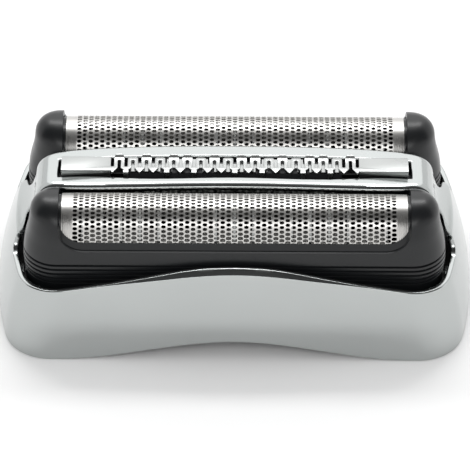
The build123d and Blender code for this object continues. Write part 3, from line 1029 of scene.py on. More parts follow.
def horn_column(shell, share, y_side, x_side, sizes):
    """One column of a horn from its foot over the round top to the ridge."""
    column = []
    for level, inset in skirt_rows(sizes):
        x, y = horn_point(share, level, inset, sizes)
        column.append(shell.point(x_side * x, y_side * y, level))
    lip = lip_height(sizes.horn_inner, sizes) - sizes.edge
    for part in np.linspace(0, 1, BAND_ROWS):
        level = BAND_FOOT + part * (lip - BAND_FOOT)
        x, y = horn_point(share, level, 0.0, sizes)
        column.append(shell.point(x_side * x, y_side * y, level))
    column += dome_column(shell, share, y_side, x_side, lip, sizes)
    return column


def dome_column(shell, share, y_side, x_side, lip, sizes):
    """Points of one horn column above the lip's level."""
    horn = FOIL_RADIUS + sizes.horn_rise
    start = math.acos((lip - FOIL_AXIS) / horn)
    column = []
    for part in np.linspace(0, 1, DOME_ROWS)[1:]:
        level = FOIL_AXIS + horn * math.cos(start * (1 - part))
        x, y = horn_point(share, level, 0.0, sizes)
        column.append(shell.point(x_side * x, y_side * max(y, 0.0), level))
    return column


def carrier_shell(sizes):
    """Points and faces of a carrier about its own middle, without ribs and flanges."""
    shell = ShellBuilder()
    start = sizes.horn_inner - sizes.lip_corner
    arc = [start + sizes.lip_corner * math.sin(a) for a in np.linspace(0, math.pi / 2, 15)]
    half_line = list(np.linspace(0, start, 12)[:-1]) + arc
    line = [-x for x in reversed(half_line[1:])] + half_line
    walls = {}
    for y_side in (-1, 1):
        columns = [wall_column(shell, x, y_side, sizes) for x in line]
        walls[y_side] = columns
        for first, second in zip(columns, columns[1:]):
            loop_a = first[0] + first[1] + [first[0][0]]
            loop_b = second[0] + second[1] + [second[0][0]]
            shell.skin(loop_a, loop_b)
    for x_side in (-1, 1):
        end = -1 if x_side > 0 else 0
        lip = lip_height(sizes.horn_inner, sizes) - sizes.edge
        sides = {}
        for y_side in (-1, 1):
            outer, rest = walls[y_side][end]
            first = outer + dome_column(shell, 0.0, y_side, x_side, lip, sizes)
            columns = [first]
            for share in np.linspace(0, 1, HORN_COLUMNS)[1:]:
                columns.append(horn_column(shell, share, y_side, x_side, sizes))
            for before, after in zip(columns, columns[1:]):
                shell.skin(before, after)
            sides[y_side] = (columns, rest, len(outer))
        front_columns, front_rest, base = sides[-1]
        rear_columns, rear_rest, _ = sides[1]
        shell.skin(front_columns[-1], rear_columns[-1])
        foot = [column[0] for column in front_columns] + [column[0] for column in reversed(rear_columns)]
        shell.faces.append(tuple(foot + [rear_rest[-1], front_rest[-1]]))
        face = front_columns[0][base - 1:] + list(reversed(rear_columns[0][base - 1:]))
        face += rear_rest + list(reversed(front_rest))
        shell.faces.append(tuple(face))
    return shell.points, shell.tidy_faces()


# Arched ribs: how far they lie below the foil, their feet below its axis, their faces from the horn's face
RIB_INSET = 0.14 * MM
RIB_FOOT = 2.8 * MM
RIB_FACES = (-1.1 * MM, 0.2 * MM)
# Flanges: distances of root and tip from the horn's face, half width, and heights above the carrier's foot
FLANGE_ROOT = 3.7 * MM
FLANGE_TIP = 4.8 * MM
FLANGE_HALF = 1.5 * MM
FLANGE_HEIGHTS = (0.02 * MM, 0.5 * MM)


def carrier_ribs(sizes):
    """Arched ribs under the foil's ends and flanges at the carrier's feet."""
    shell = ShellBuilder()
    radius = FOIL_RADIUS - RIB_INSET
    foot = FOIL_AXIS - RIB_FOOT
    for x_side in (-1, 1):
        loops = []
        for face in RIB_FACES:
            x = x_side * (sizes.horn_inner + face)
            loop = [shell.point(x, -radius, foot)]
            for turn in np.radians(np.linspace(-90, 90, 33)):
                loop.append(shell.point(x, radius * math.sin(turn), FOIL_AXIS + radius * math.cos(turn)))
            loop.append(shell.point(x, radius, foot))
            loops.append(loop)
        shell.skin(loops[0] + loops[0][:1], loops[1] + loops[1][:1])
        shell.faces += [tuple(loops[0]), tuple(loops[1])]
        root = x_side * (sizes.horn_inner + FLANGE_ROOT)
        tip = x_side * (sizes.horn_inner + FLANGE_TIP)
        low = (min(root, tip), -FLANGE_HALF, CARRIER_LOW.z + FLANGE_HEIGHTS[0])
        high = (max(root, tip), FLANGE_HALF, CARRIER_LOW.z + FLANGE_HEIGHTS[1])
        first = len(shell.points)
        shell.points += block_points(low, high)
        shell.faces += [tuple(first + i for i in face) for face in BLOCK_FACES]
    piece = mesh_object("carrier_ribs", shell.points, shell.faces)
    turn_outwards(piece)
    return piece


# Notch for the drive carrier in a carrier's inner side
NOTCH_HALF = 5.6 * MM
NOTCH_REACH = 6.0 * MM
NOTCH_HEIGHTS = (7.0 * MM, 9.3 * MM)


def build_carriers(sizes, material):
    """Two black carriers with round horns, a lip under the foil and a grooved skirt."""
    for unit, centre, inner_side in UNITS:
        points, faces = carrier_shell(sizes)
        piece = mesh_object(f"{unit}_carrier_body", points, faces)
        weld(piece, 0.002 * MM)
        turn_outwards(piece)
        cut(piece, carrier_ribs(sizes), "UNION")
        low = (-NOTCH_HALF, min(0.0, inner_side * NOTCH_REACH), NOTCH_HEIGHTS[0])
        high = (NOTCH_HALF, max(0.0, inner_side * NOTCH_REACH), NOTCH_HEIGHTS[1])
        cut(piece, blocks("drive_notch", [block_points(low, high)]), "DIFFERENCE")
        for vertex in piece.data.vertices:
            vertex.co.y += centre
        finish_piece(piece, f"{unit}_head", material, [f"{unit}_foil_carrier"])


# Foils


def arch_point(x, arc, radius, drop):
    """Point of the arched sheet at a distance round the arch from its top, sunk by drop."""
    quarter = radius * math.pi / 2
    inner = radius - drop
    side = 1.0 if arc >= 0 else -1.0
    if abs(arc) <= quarter:
        angle = arc / radius
        return x, inner * math.sin(angle), FOIL_AXIS + inner * math.cos(angle)
    return x, side * inner, FOIL_AXIS - (abs(arc) - quarter)


# Steps round the edge of one hole's cell, along the foil and round the arch
CELL_EDGE = ((0, 0), (1, 0), (2, 0), (2, 1), (2, 2), (2, 3), (2, 4), (1, 4), (0, 4), (0, 3), (0, 2), (0, 1))
# Ridged ends of a foil
RIDGE_STEPS = 12
RIDGE_DEPTH = 0.045 * MM
# How square the holes are: 2 makes them oval
SQUARENESS = 2.6
# How much larger the holes are low on the sides
HOLE_GROWTH = 0.22


def hole_outline(ring, middle_x, middle_arc, sizes):
    """Points of a hole with rounded corners, one for each point of its cell's edge."""
    grow = 1.0 + HOLE_GROWTH * float(ease((abs(middle_arc) / FOIL_RADIUS - 0.95) / 0.4))
    outline = []
    for x, arc, _ in ring:
        along = (x - middle_x) / (sizes.pitch / 2)
        across = (arc - middle_arc) / (sizes.row_pitch / 2)
        turn = math.atan2(across, along)
        square = abs(math.cos(turn)) ** SQUARENESS + abs(math.sin(turn)) ** SQUARENESS
        flat = square ** (-1 / SQUARENESS)
        outline.append((
            middle_x + grow * sizes.hole_width / 2 * flat * math.cos(turn),
            middle_arc + grow * sizes.hole_height / 2 * flat * math.sin(turn),
            0.0,
        ))
    return outline


def foil_lattice(sizes):
    """Flat points (x, arc, drop) and faces of the perforated sheet."""
    points = []
    faces = []
    known = {}
    columns = sizes.columns
    rows = sizes.rows
    half = FOIL_HIGH.x
    edge_x = columns * sizes.pitch / 2
    edge_arc = rows * sizes.row_pitch / 2
    foot = FOIL_RADIUS * math.pi / 2 + FOIL_AXIS - FOIL_LOW.z
    strip_x = list(np.linspace(-half, -edge_x, RIDGE_STEPS + 1)[:-1])
    lattice_x = [(i / 2 - columns / 2) * sizes.pitch for i in range(2 * columns + 1)]
    xs = strip_x + lattice_x + [-x for x in reversed(strip_x)]
    border = list(np.linspace(-foot, -edge_arc, 4)[:-1])
    lattice_arc = [(i / 4 - rows / 2) * sizes.row_pitch for i in range(4 * rows + 1)]
    arcs = border + lattice_arc + [-a for a in reversed(border)]
    first_x = len(strip_x)
    first_arc = len(border)

    def corner(i, j):
        """Point of the grid, made when it is first asked for. The strips at the ends have ridges."""
        if (i, j) not in known:
            in_strip = i < first_x or i > first_x + 2 * columns
            on_side = float(ease((abs(arcs[j]) / FOIL_RADIUS - 0.25) / 0.3))
            drop = RIDGE_DEPTH * (i % 2) * on_side if in_strip else 0.0
            known[(i, j)] = len(points)
            points.append((xs[i], arcs[j], drop))
        return known[(i, j)]

    def plain(i, j):
        """One face of the grid without a hole."""
        faces.append((corner(i, j), corner(i + 1, j), corner(i + 1, j + 1), corner(i, j + 1)))

    for i in range(len(xs) - 1):
        for j in range(len(arcs) - 1):
            in_x = first_x <= i < first_x + 2 * columns
            in_arc = first_arc <= j < first_arc + 4 * rows
            if not (in_x and in_arc):
                plain(i, j)
    for column in range(columns):
        shift = 2 * (column % 2)
        i0 = first_x + 2 * column
        if shift:
            for i in (i0, i0 + 1):
                for j in (first_arc, first_arc + 1, first_arc + 4 * rows - 2, first_arc + 4 * rows - 1):
                    plain(i, j)
        for row in range(rows - column % 2):
            j0 = first_arc + 4 * row + shift
            ring = [corner(i0 + i, j0 + j) for i, j in CELL_EDGE]
            hole = len(points)
            points += hole_outline([points[k] for k in ring], xs[i0 + 1], arcs[j0 + 2], sizes)
            for k, start in enumerate(ring):
                n = (k + 1) % len(ring)
                faces.append((start, ring[n], hole + n, hole + k))
    return points, faces


def foil_shell(sizes):
    """Closed sheet of the lattice bent over the arch, with walls in every hole and round the edge."""
    flat, faces = foil_lattice(sizes)
    count = len(flat)
    outer = [arch_point(x, arc, FOIL_RADIUS, drop) for x, arc, drop in flat]
    inner = [arch_point(x, arc, FOIL_RADIUS, drop + sizes.sheet) for x, arc, drop in flat]
    used = {}
    for face in faces:
        for k, start in enumerate(face):
            end = face[(k + 1) % len(face)]
            used[(start, end)] = True
    walls = []
    for start, end in used:
        if (end, start) not in used:
            walls.append((end, start, start + count, end + count))
    back = [tuple(index + count for index in reversed(face)) for face in faces]
    return outer + inner, faces + back + walls


def build_foils(sizes, material):
    """Two arched foils with staggered holes and ridged ends."""
    points, faces = foil_shell(sizes)
    for unit, centre, _ in UNITS:
        piece = mesh_object(f"{unit}_foil_sheet", [(x, y + centre, z) for x, y, z in points], faces)
        finish_piece(piece, f"{unit}_head", material, [f"{unit}_foil"], angle=40.0)


# Trimmer guard


def arc_points(centre, radius, first, last, steps):
    """Points round an arc, angles in degrees."""
    angles = np.radians(np.linspace(first, last, steps + 1))
    return [(centre[0] + radius * math.cos(a), centre[1] + radius * math.sin(a)) for a in angles]


def loop_is_round(index):
    """Two of five loops are flat, the others round."""
    return index % 5 in (0, 2, 4)


def gap_has_post(index, count):
    """Two of five gaps have a post. They are counted from the left; gap 0 lies before the first loop."""
    return index % 5 in (1, 4) and 0 < index < count


def comb_outline(sizes):
    """Outline of the bent strip and its two end plates, and the places of the posts."""
    leg = sizes.pitch / 4
    outside = leg + sizes.stroke / 2
    inside = leg - sizes.stroke / 2
    gap = sizes.pitch / 2 - outside
    first = -(sizes.loops - 1) / 2 * sizes.pitch
    plate_in = -first + sizes.pitch - outside
    plate_out = COMB_HIGH.x
    rear = 1.2 * MM
    front = -1.5 * MM
    valley = -0.75 * MM
    shoulder = -1.0 * MM
    tip = -1.85 * MM
    slot_top = 0.62 * MM
    round_top = 1.6 * MM
    flat_top = 1.12 * MM
    flat_corner = 0.3 * MM
    plate_corner = 0.18 * MM
    post_half = 0.33 * MM
    post_root = shoulder - 0.3 * MM
    front_turn = 0.12 * MM
    rim = [(-plate_out, front)]
    rim += arc_points((-plate_out + plate_corner, rear - plate_corner), plate_corner, 180, 90, 4)
    rim += arc_points((-plate_in - plate_corner, rear - plate_corner), plate_corner, 90, 0, 4)
    rim += arc_points((-plate_in + gap, valley + gap), gap, 180, 360, 8)
    for index in range(sizes.loops):
        x = first + index * sizes.pitch
        if loop_is_round(index):
            rim += arc_points((x, round_top - outside), outside, 180, 0, 14)
        else:
            corner_y = flat_top - flat_corner
            rim += arc_points((x - outside + flat_corner, corner_y), flat_corner, 180, 90, 5)
            rim += arc_points((x + outside - flat_corner, corner_y), flat_corner, 90, 0, 5)
        rim += arc_points((x + outside + gap, valley + gap), gap, 180, 360, 8)
    rim += arc_points((plate_in + plate_corner, rear - plate_corner), plate_corner, 180, 90, 4)
    rim += arc_points((plate_out - plate_corner, rear - plate_corner), plate_corner, 90, 0, 4)
    rim += [(plate_out, front), (plate_in, front)]
    posts = []
    for index in range(sizes.loops, -1, -1):
        x = first + (index - 0.5) * sizes.pitch
        if gap_has_post(index, sizes.loops):
            rim += [(x + post_half, post_root), (x + post_half, tip)]
            rim += [(x - post_half, tip), (x - post_half, post_root)]
            posts.append(x)
        else:
            rim += arc_points((x, tip + front_turn), front_turn, -40, -140, 4)
        if index > 0:
            slot = x - outside - inside
            rim.append((slot + inside, shoulder))
            rim += arc_points((slot, slot_top - inside), inside, 0, 180, 8)
            rim.append((slot - inside, shoulder))
    rim.append((-plate_in, front))
    return rim, posts, (plate_in, plate_out, front, tip)


def curve_mesh(name, curve):
    """Mesh object of a curve, which is then removed."""
    holder = bpy.data.objects.new(name, curve)
    bpy.context.scene.collection.objects.link(holder)
    graph = bpy.context.evaluated_depsgraph_get()
    mesh = bpy.data.meshes.new_from_object(holder.evaluated_get(graph))
    bpy.data.objects.remove(holder)
    bpy.data.curves.remove(curve)
    piece = bpy.data.objects.new(name, mesh)
    bpy.context.scene.collection.objects.link(piece)
    return piece


# Parts of the guard that are folded down: thickness, overlap with the sheet, and depth of posts and plates
FOLD = 0.27 * MM
FOLD_INSET = 0.03 * MM
FOLD_OVERLAP = 0.1 * MM
POST_DROP = 0.72 * MM
PLATE_DROP = 0.68 * MM
POST_WIDTH = 0.6 * MM
PLATE_INSET = 0.04 * MM
# Where the round loops begin to bend up, and the run to their peak
PEAK_START = 0.85 * MM
PEAK_RUN = 0.7 * MM
# Height kept free above the sheet for the peaks
PEAK_ROOM = 0.3 * MM


def guard_folds(comb, posts, plates, low):
    """Posts and end plates of the guard, folded down under the sheet's lower face."""
    plate_in, plate_out, front, tip = plates
    places = [(x - POST_WIDTH / 2, x + POST_WIDTH / 2, tip, POST_DROP) for x in posts]
    for x_side in (-1, 1):
        x0 = min(x_side * plate_in, x_side * plate_out) + PLATE_INSET
        x1 = max(x_side * plate_in, x_side * plate_out) - PLATE_INSET
        places.append((x0, x1, front, PLATE_DROP))
    folds = []
    for x0, x1, y, drop in places:
        y0 = y + FOLD_INSET
        folds.append(block_points((x0, y0, low - drop), (x1, y0 + FOLD, low + FOLD_OVERLAP)))
    cut(comb, blocks("guard_folds", folds), "UNION")


def build_guard(sizes, material):
    """Serpentine guard with rounded edges, posts folded down in front and raised round loops."""
    rim, posts, plates = comb_outline(sizes)
    low = COMB_HIGH.z - PEAK_ROOM - sizes.sheet
    edge = 0.05 * MM
    curve = bpy.data.curves.new("guard_outline", "CURVE")
    curve.dimensions = "2D"
    curve.fill_mode = "BOTH"
    curve.extrude = sizes.sheet / 2 - edge
    curve.bevel_depth = edge
    curve.bevel_resolution = 1
    curve.offset = -edge
    line = curve.splines.new("POLY")
    line.points.add(len(rim) - 1)
    line.use_cyclic_u = True
    for point, (x, y) in zip(line.points, rim):
        point.co = (x, y, 0.0, 1.0)
    piece = curve_mesh("guard_comb", curve)
    for vertex in piece.data.vertices:
        vertex.co.z += low + sizes.sheet / 2
    weld(piece, 0.001 * MM)
    turn_outwards(piece)
    guard_folds(piece, posts, plates, low)
    first = -(sizes.loops - 1) / 2 * sizes.pitch
    for vertex in piece.data.vertices:
        index = round((vertex.co.x - first) / sizes.pitch)
        if 0 <= index < sizes.loops and loop_is_round(index):
            vertex.co.z += sizes.peak * float(ease((vertex.co.y - PEAK_START) / PEAK_RUN))
    finish_piece(piece, "trimmer", material, ["trimmer_guard_comb"])


# Springs


# Points in one turn of a coil
COIL_STEPS = 28
# Turns of a spring between its closed ends, and how far it is pressed together
CUTTER_SPRING = (3, 1.8 * MM)
TRIMMER_SPRING = (4, 1.0 * MM)


def build_springs(sizes, material):
    """Round-wire coil springs, each riding on its body."""
    jobs = []
    for unit, _, _ in UNITS:
        for side in ("left", "right"):
            jobs.append((f"{unit}_cutter_spring_{side}", "drive", f"{unit}_cutter_press", *CUTTER_SPRING))
    for side in ("left", "right"):
        jobs.append((f"trimmer_spring_{side}", "base", "trimmer_float", *TRIMMER_SPRING))
    for node, body, joint, turns, travel in jobs:
        low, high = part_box(node)
        centre = (low + high) / 2
        bottom = low.z + sizes.wire / 2
        rise = high.z - low.z - sizes.wire
        steps = COIL_STEPS * (turns + 1)
        curve = bpy.data.curves.new("spring_line", "CURVE")
        curve.dimensions = "3D"
        curve.bevel_depth = sizes.wire / 2
        curve.bevel_resolution = 2
        curve.use_fill_caps = True
        line = curve.splines.new("POLY")
        line.points.add(steps)
        for index in range(steps + 1):
            turn = 2 * math.pi * index / COIL_STEPS
            run = np.clip((index / COIL_STEPS - 0.5) / turns, 0.0, 1.0)
            share = 0.5 * ease(run) + 0.5 * run
            x = centre.x + sizes.radius * math.cos(turn)
            y = centre.y + sizes.radius * math.sin(turn)
            line.points[index].co = (x, y, bottom + rise * float(share), 1.0)
        piece = curve_mesh(node + "_wire", curve)
        weld(piece, 0.001 * MM)
        turn_outwards(piece)
        finish_piece(piece, body, material, [node], angle=50.0)
        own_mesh(piece)


# Finishes


def group_tree(name, inputs, outputs):
    """Empty shader node group with value inputs and outputs, and its input and output nodes."""
    tree = bpy.data.node_groups.new(name, "ShaderNodeTree")
    for label, default in inputs:
        socket = tree.interface.new_socket(label, in_out="INPUT", socket_type="NodeSocketFloat")
        socket.default_value = default
    for label in outputs:
        tree.interface.new_socket(label, in_out="OUTPUT", socket_type="NodeSocketFloat")
    start = tree.nodes.new("NodeGroupInput")
    end = tree.nodes.new("NodeGroupOutput")
    return tree, start, end


def surface_group(name, stretch, detail):
    """Fine relief, drawn out by the stretch, and a slow drift of tone over the piece, built once."""
    built = bpy.data.node_groups.get(name)
    if built:
        return built
    tree, start, end = group_tree(name, [("Scale", 4000.0), ("Drift", 120.0)], ["Height", "Tone"])
    place = tree.nodes.new("ShaderNodeTexCoord")
    mapping = tree.nodes.new("ShaderNodeMapping")
    mapping.inputs["Scale"].default_value = stretch
    fine = tree.nodes.new("ShaderNodeTexNoise")
    fine.inputs["Detail"].default_value = detail
    slow = tree.nodes.new("ShaderNodeTexNoise")
    slow.inputs["Detail"].default_value = 2.0
    tree.links.new(place.outputs["Object"], mapping.inputs["Vector"])
    tree.links.new(mapping.outputs["Vector"], fine.inputs["Vector"])
    tree.links.new(place.outputs["Object"], slow.inputs["Vector"])
    tree.links.new(start.outputs["Scale"], fine.inputs["Scale"])
    tree.links.new(start.outputs["Drift"], slow.inputs["Scale"])
    tree.links.new(fine.outputs["Fac"], end.inputs["Height"])
    tree.links.new(slow.outputs["Fac"], end.inputs["Tone"])
    return tree


def fine_grain():
    """Moulded or blasted grain."""
    return surface_group("fine_grain", (1.0, 1.0, 1.0), 3.0)


def grinding_lines():
    """Grinding lines along the foils."""
    return surface_group("grinding_lines", (0.03, 1.0, 1.0), 2.0)


def finish_material(name, group, colour, shade, rough, bump, metallic=0.0, scale=4000.0, gloss=0.5):
    """Material whose colour, roughness and relief come from one of the shared groups."""
    material = bpy.data.materials.new(name)
    material.use_nodes = True
    nodes = material.node_tree.nodes
    links = material.node_tree.links
    nodes.clear()
    out = nodes.new("ShaderNodeOutputMaterial")
    shader = nodes.new("ShaderNodeBsdfPrincipled")
    shader.inputs["Metallic"].default_value = metallic
    shader.inputs["Specular IOR Level"].default_value = gloss
    effect = nodes.new("ShaderNodeGroup")
    effect.node_tree = group
    effect.inputs["Scale"].default_value = scale
    mix = nodes.new("ShaderNodeMix")
    mix.data_type = "RGBA"
    mix.inputs["A"].default_value = tuple(value * (1.0 - shade) for value in colour[:3]) + (1.0,)
    mix.inputs["B"].default_value = tuple(min(value * (1.0 + shade), 1.0) for value in colour[:3]) + (1.0,)
    spread = nodes.new("ShaderNodeMapRange")
    spread.inputs["From Min"].default_value = 0.3
    spread.inputs["From Max"].default_value = 0.7
    spread.inputs["To Min"].default_value = rough[0]
    spread.inputs["To Max"].default_value = rough[1]
    relief = nodes.new("ShaderNodeBump")
    relief.inputs["Strength"].default_value = bump
    relief.inputs["Distance"].default_value = 0.02 * MM
    links.new(effect.outputs["Tone"], mix.inputs["Factor"])
    links.new(mix.outputs["Result"], shader.inputs["Base Color"])
    links.new(effect.outputs["Tone"], spread.inputs["Value"])
    links.new(spread.outputs["Result"], shader.inputs["Roughness"])
    links.new(effect.outputs["Height"], relief.inputs["Height"])
    links.new(relief.outputs["Normal"], shader.inputs["Normal"])
    links.new(shader.outputs["BSDF"], out.inputs["Surface"])
    return material


def plated(colours):
    """Satin plating of the frame."""
    return finish_material(
        "satin_plating", fine_grain(), colours.plating, 0.03, (0.13, 0.17), 0.03, metallic=1.0
    )


def black_plastic(colours):
    """Moulded plastic of the carriers."""
    return finish_material(
        "black_plastic", fine_grain(), colours.black, 0.12, (0.28, 0.34), 0.12, scale=6000.0, gloss=0.45
    )


def foil_steel(colours):
    """Thin bright steel of the foils."""
    return finish_material(
        "foil_steel", grinding_lines(), colours.foil, 0.05, (0.28, 0.36), 0.05, metallic=1.0
    )


def ground_steel(colours):
    """Steel of the guard, springs and blades, made once for all of them."""
    return bpy.data.materials.get("ground_steel") or finish_material(
        "ground_steel", grinding_lines(), colours.steel, 0.04, (0.24, 0.32), 0.08, metallic=1.0
    )


def inner_plastic(colours):
    """Dark plastic of the hidden mouldings."""
    return finish_material(
        "matt_dark_plastic", fine_grain(), colours.inner, 0.12, (0.5, 0.6), 0.25, scale=3500.0
    )


def drive_plastic(colours):
    """Pale plastic of the driven mouldings."""
    return finish_material(
        "matt_pale_plastic", fine_grain(), colours.drive, 0.06, (0.42, 0.52), 0.2, scale=3500.0
    )


# Finish of each solid that is shown as it is
CARRIED_OVER = (
    (inner_plastic, ("inner_chassis", "trimmer_holder", "trimmer_slider")),
    (drive_plastic, ("drive_carrier", "front_cutter_spine", "rear_cutter_spine")),
    (ground_steel, ("front_cutter_blades", "rear_cutter_blades", "trimmer_blade")),
)


def finish_solids(colours):
    """Finishes of the solids that are shown as they are."""
    for make, nodes in CARRIED_OVER:
        material = make(colours)
        for node in nodes:
            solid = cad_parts[node]
            solid.data.materials.clear()
            solid.data.materials.append(material)


# Stage


# Brightness of what reflections show, at shares of a full turn round the X axis
SHINE_MARKS = ((0.0, 0.9), (0.36, 0.9), (0.39, 0.06), (0.51, 0.06), (0.56, 1.0), (1.0, 1.0))


def build_world(stage):
    """White surroundings, with a dim band overhead that only reflections show."""
    world = bpy.data.worlds.new("studio")
    world.use_nodes = True
    bpy.context.scene.world = world
    nodes = world.node_tree.nodes
    links = world.node_tree.links
    nodes.clear()
    out = nodes.new("ShaderNodeOutputWorld")
    place = nodes.new("ShaderNodeTexCoord")
    split = nodes.new("ShaderNodeSeparateXYZ")
    lean = nodes.new("ShaderNodeMath")
    lean.operation = "ARCTAN2"
    band = nodes.new("ShaderNodeValToRGB")
    ramp = band.color_ramp
    ramp.interpolation = "EASE"
    while len(ramp.elements) < len(SHINE_MARKS):
        ramp.elements.new(0.5)
    for element, (position, level) in zip(ramp.elements, SHINE_MARKS):
        element.position = position
        element.color = (level, level, level, 1.0)
    turn = nodes.new("ShaderNodeMapRange")
    turn.inputs["From Min"].default_value = -math.pi
    turn.inputs["From Max"].default_value = math.pi
    even = nodes.new("ShaderNodeBackground")
    even.inputs["Color"].default_value = (1.0, 1.0, 1.0, 1.0)
    even.inputs["Strength"].default_value = stage.room
    seen = nodes.new("ShaderNodeBackground")
    seen.inputs["Color"].default_value = (1.0, 1.0, 1.0, 1.0)
    shine = nodes.new("ShaderNodeBackground")
    path = nodes.new("ShaderNodeLightPath")
    either = nodes.new("ShaderNodeMath")
    either.operation = "MAXIMUM"
    first = nodes.new("ShaderNodeMixShader")
    second = nodes.new("ShaderNodeMixShader")
    links.new(place.outputs["Generated"], split.inputs["Vector"])
    links.new(split.outputs["Y"], lean.inputs[0])
    links.new(split.outputs["Z"], lean.inputs[1])
    links.new(lean.outputs["Value"], turn.inputs["Value"])
    links.new(turn.outputs["Result"], band.inputs["Fac"])
    links.new(band.outputs["Color"], shine.inputs["Color"])
    links.new(path.outputs["Is Camera Ray"], either.inputs[0])
    links.new(path.outputs["Is Transmission Ray"], either.inputs[1])
    links.new(path.outputs["Is Glossy Ray"], first.inputs["Fac"])
    links.new(even.outputs["Background"], first.inputs[1])
    links.new(shine.outputs["Background"], first.inputs[2])
    links.new(either.outputs["Value"], second.inputs["Fac"])
    links.new(first.outputs["Shader"], second.inputs[1])
    links.new(seen.outputs["Background"], second.inputs[2])
    links.new(second.outputs["Shader"], out.inputs["Surface"])


def build_floor():
    """Wide pale floor."""
    reach = 3.0
    drop = 0.02 * MM
    floor = mesh_object(
        "floor",
        [(-reach, -reach, 0.0), (reach, -reach, 0.0), (reach, reach, 0.0), (-reach, reach, 0.0)],
        [(0, 1, 2, 3)],
    )
    floor.location.z = -drop
    material = bpy.data.materials.new("floor_paint")
    material.use_nodes = True
    nodes = material.node_tree.nodes
    shader = nodes["Principled BSDF"]
    shader.inputs["Roughness"].default_value = 0.9
    shader.inputs["Specular IOR Level"].default_value = 0.0
    speckle = nodes.new("ShaderNodeTexNoise")
    speckle.inputs["Scale"].default_value = 30.0
    tint = nodes.new("ShaderNodeMix")
    tint.data_type = "RGBA"
    tint.inputs["A"].default_value = (0.95, 0.95, 0.95, 1.0)
    tint.inputs["B"].default_value = (0.97, 0.97, 0.97, 1.0)
    material.node_tree.links.new(speckle.outputs["Fac"], tint.inputs["Factor"])
    material.node_tree.links.new(tint.outputs["Result"], shader.inputs["Base Color"])
    floor.data.materials.append(material)


def add_lamp(name, power, size, location, target):
    """Area lamp of a width and height that faces a point."""
    data = bpy.data.lights.new(name, "AREA")
    data.energy = power
    data.shape = "RECTANGLE"
    data.size, data.size_y = size
    lamp = bpy.data.objects.new(name, data)
    bpy.context.scene.collection.objects.link(lamp)
    lamp.location = location
    aim = Vector(target) - Vector(location)
    lamp.rotation_euler = aim.to_track_quat("-Z", "Y").to_euler()
    return lamp


def build_camera(stage):
    """Camera at the photograph's angle."""
    data = bpy.data.cameras.new("camera")
    data.lens = stage.lens
    data.sensor_width = 36.0
    data.clip_start = 0.01
    data.clip_end = 20.0
    camera = bpy.data.objects.new("camera", data)
    bpy.context.scene.collection.objects.link(camera)
    back = Vector((0.0, -math.cos(stage.elevation), math.sin(stage.elevation)))
    camera.location = Vector(stage.target) + back * stage.distance
    turn = (-back).to_track_quat("-Z", "Y").to_matrix() @ Euler((0.0, 0.0, stage.roll)).to_matrix()
    camera.rotation_euler = turn.to_euler()
    bpy.context.scene.camera = camera


# Operators


class BuildFrame(bpy.types.Operator):
    """Build the plated frame with its bridge"""

    bl_idname = "foil_head.frame"
    bl_label = "Plated frame"

    def execute(self, context):
        build_frame(context.scene.head_frame, plated(context.scene.head_colours))
        return {"FINISHED"}


class BuildCarriers(bpy.types.Operator):
    """Build the two black foil carriers"""

    bl_idname = "foil_head.carriers"
    bl_label = "Foil carriers"

    def execute(self, context):
        build_carriers(context.scene.head_carrier, black_plastic(context.scene.head_colours))
        return {"FINISHED"}


class BuildFoils(bpy.types.Operator):
    """Build the two perforated foils"""

    bl_idname = "foil_head.foils"
    bl_label = "Foils"

    def execute(self, context):
        build_foils(context.scene.head_foil, foil_steel(context.scene.head_colours))
        return {"FINISHED"}


class BuildGuard(bpy.types.Operator):
    """Build the trimmer's guard comb"""

    bl_idname = "foil_head.guard"
    bl_label = "Trimmer guard"

    def execute(self, context):
        build_guard(context.scene.head_trimmer, ground_steel(context.scene.head_colours))
        return {"FINISHED"}


class BuildSprings(bpy.types.Operator):
    """Build the coil springs"""

    bl_idname = "foil_head.springs"
    bl_label = "Springs"

    def execute(self, context):
        build_springs(context.scene.head_spring, ground_steel(context.scene.head_colours))
        return {"FINISHED"}


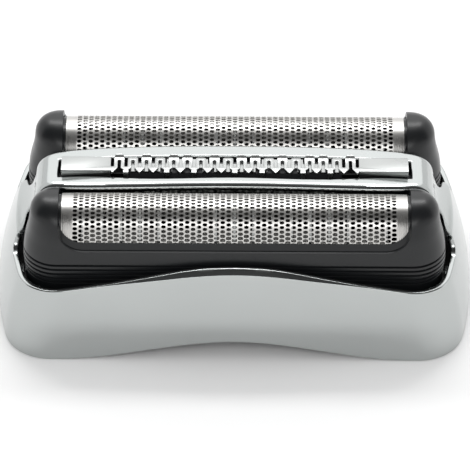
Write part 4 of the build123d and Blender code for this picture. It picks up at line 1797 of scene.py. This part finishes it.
class FinishSolids(bpy.types.Operator):
    """Give the solids that are shown as they are their finishes"""

    bl_idname = "foil_head.solids"
    bl_label = "Inner pieces"

    def execute(self, context):
        finish_solids(context.scene.head_colours)
        return {"FINISHED"}


class BuildStage(bpy.types.Operator):
    """Build the floor, lamps, surroundings and camera"""

    bl_idname = "foil_head.stage"
    bl_label = "Stage"

    def execute(self, context):
        stage = context.scene.head_stage
        context.scene.view_settings.view_transform = "Standard"
        build_world(stage)
        build_floor()
        middle = (0.0, 0.0, 10.0 * MM)
        add_lamp("key", stage.key_power, (1.2, 0.7), (0.0, 0.6, 0.6), middle)
        add_lamp("strip", stage.strip_power, (0.6, 0.12), (0.0, 0.35, 0.606), middle)
        add_lamp("front", stage.front_power, (0.6, 0.22), (0.0, -0.62, 0.64), middle)
        build_camera(stage)
        return {"FINISHED"}


OPERATORS = (BuildFrame, BuildCarriers, BuildFoils, BuildGuard, BuildSprings, FinishSolids, BuildStage)


class FoilHeadPanel(bpy.types.Panel):
    """Lists the pieces of the foil head and their sizes"""

    bl_idname = "VIEW3D_PT_foil_head"
    bl_label = "Foil head"
    bl_space_type = "VIEW_3D"
    bl_region_type = "UI"
    bl_category = "Foil head"

    def draw(self, context):
        for operator in OPERATORS:
            self.layout.operator(operator.bl_idname)
        for name, group in GROUPS:
            box = self.layout.box()
            box.label(text=group.__doc__)
            for key in group.__annotations__:
                box.prop(getattr(context.scene, name), key)


CLASSES = tuple(group for _, group in GROUPS) + OPERATORS + (FoilHeadPanel,)


def register():
    for entry in CLASSES:
        bpy.utils.register_class(entry)
    for name, group in GROUPS:
        setattr(bpy.types.Scene, name, bpy.props.PointerProperty(type=group))


def unregister():
    for name, _ in GROUPS:
        delattr(bpy.types.Scene, name)
    for entry in reversed(CLASSES):
        bpy.utils.unregister_class(entry)


def main():
    register()
    bpy.ops.foil_head.frame()
    bpy.ops.foil_head.carriers()
    bpy.ops.foil_head.foils()
    bpy.ops.foil_head.guard()
    bpy.ops.foil_head.springs()
    bpy.ops.foil_head.solids()
    bpy.ops.foil_head.stage()


if __name__ == "__main__":
    main()
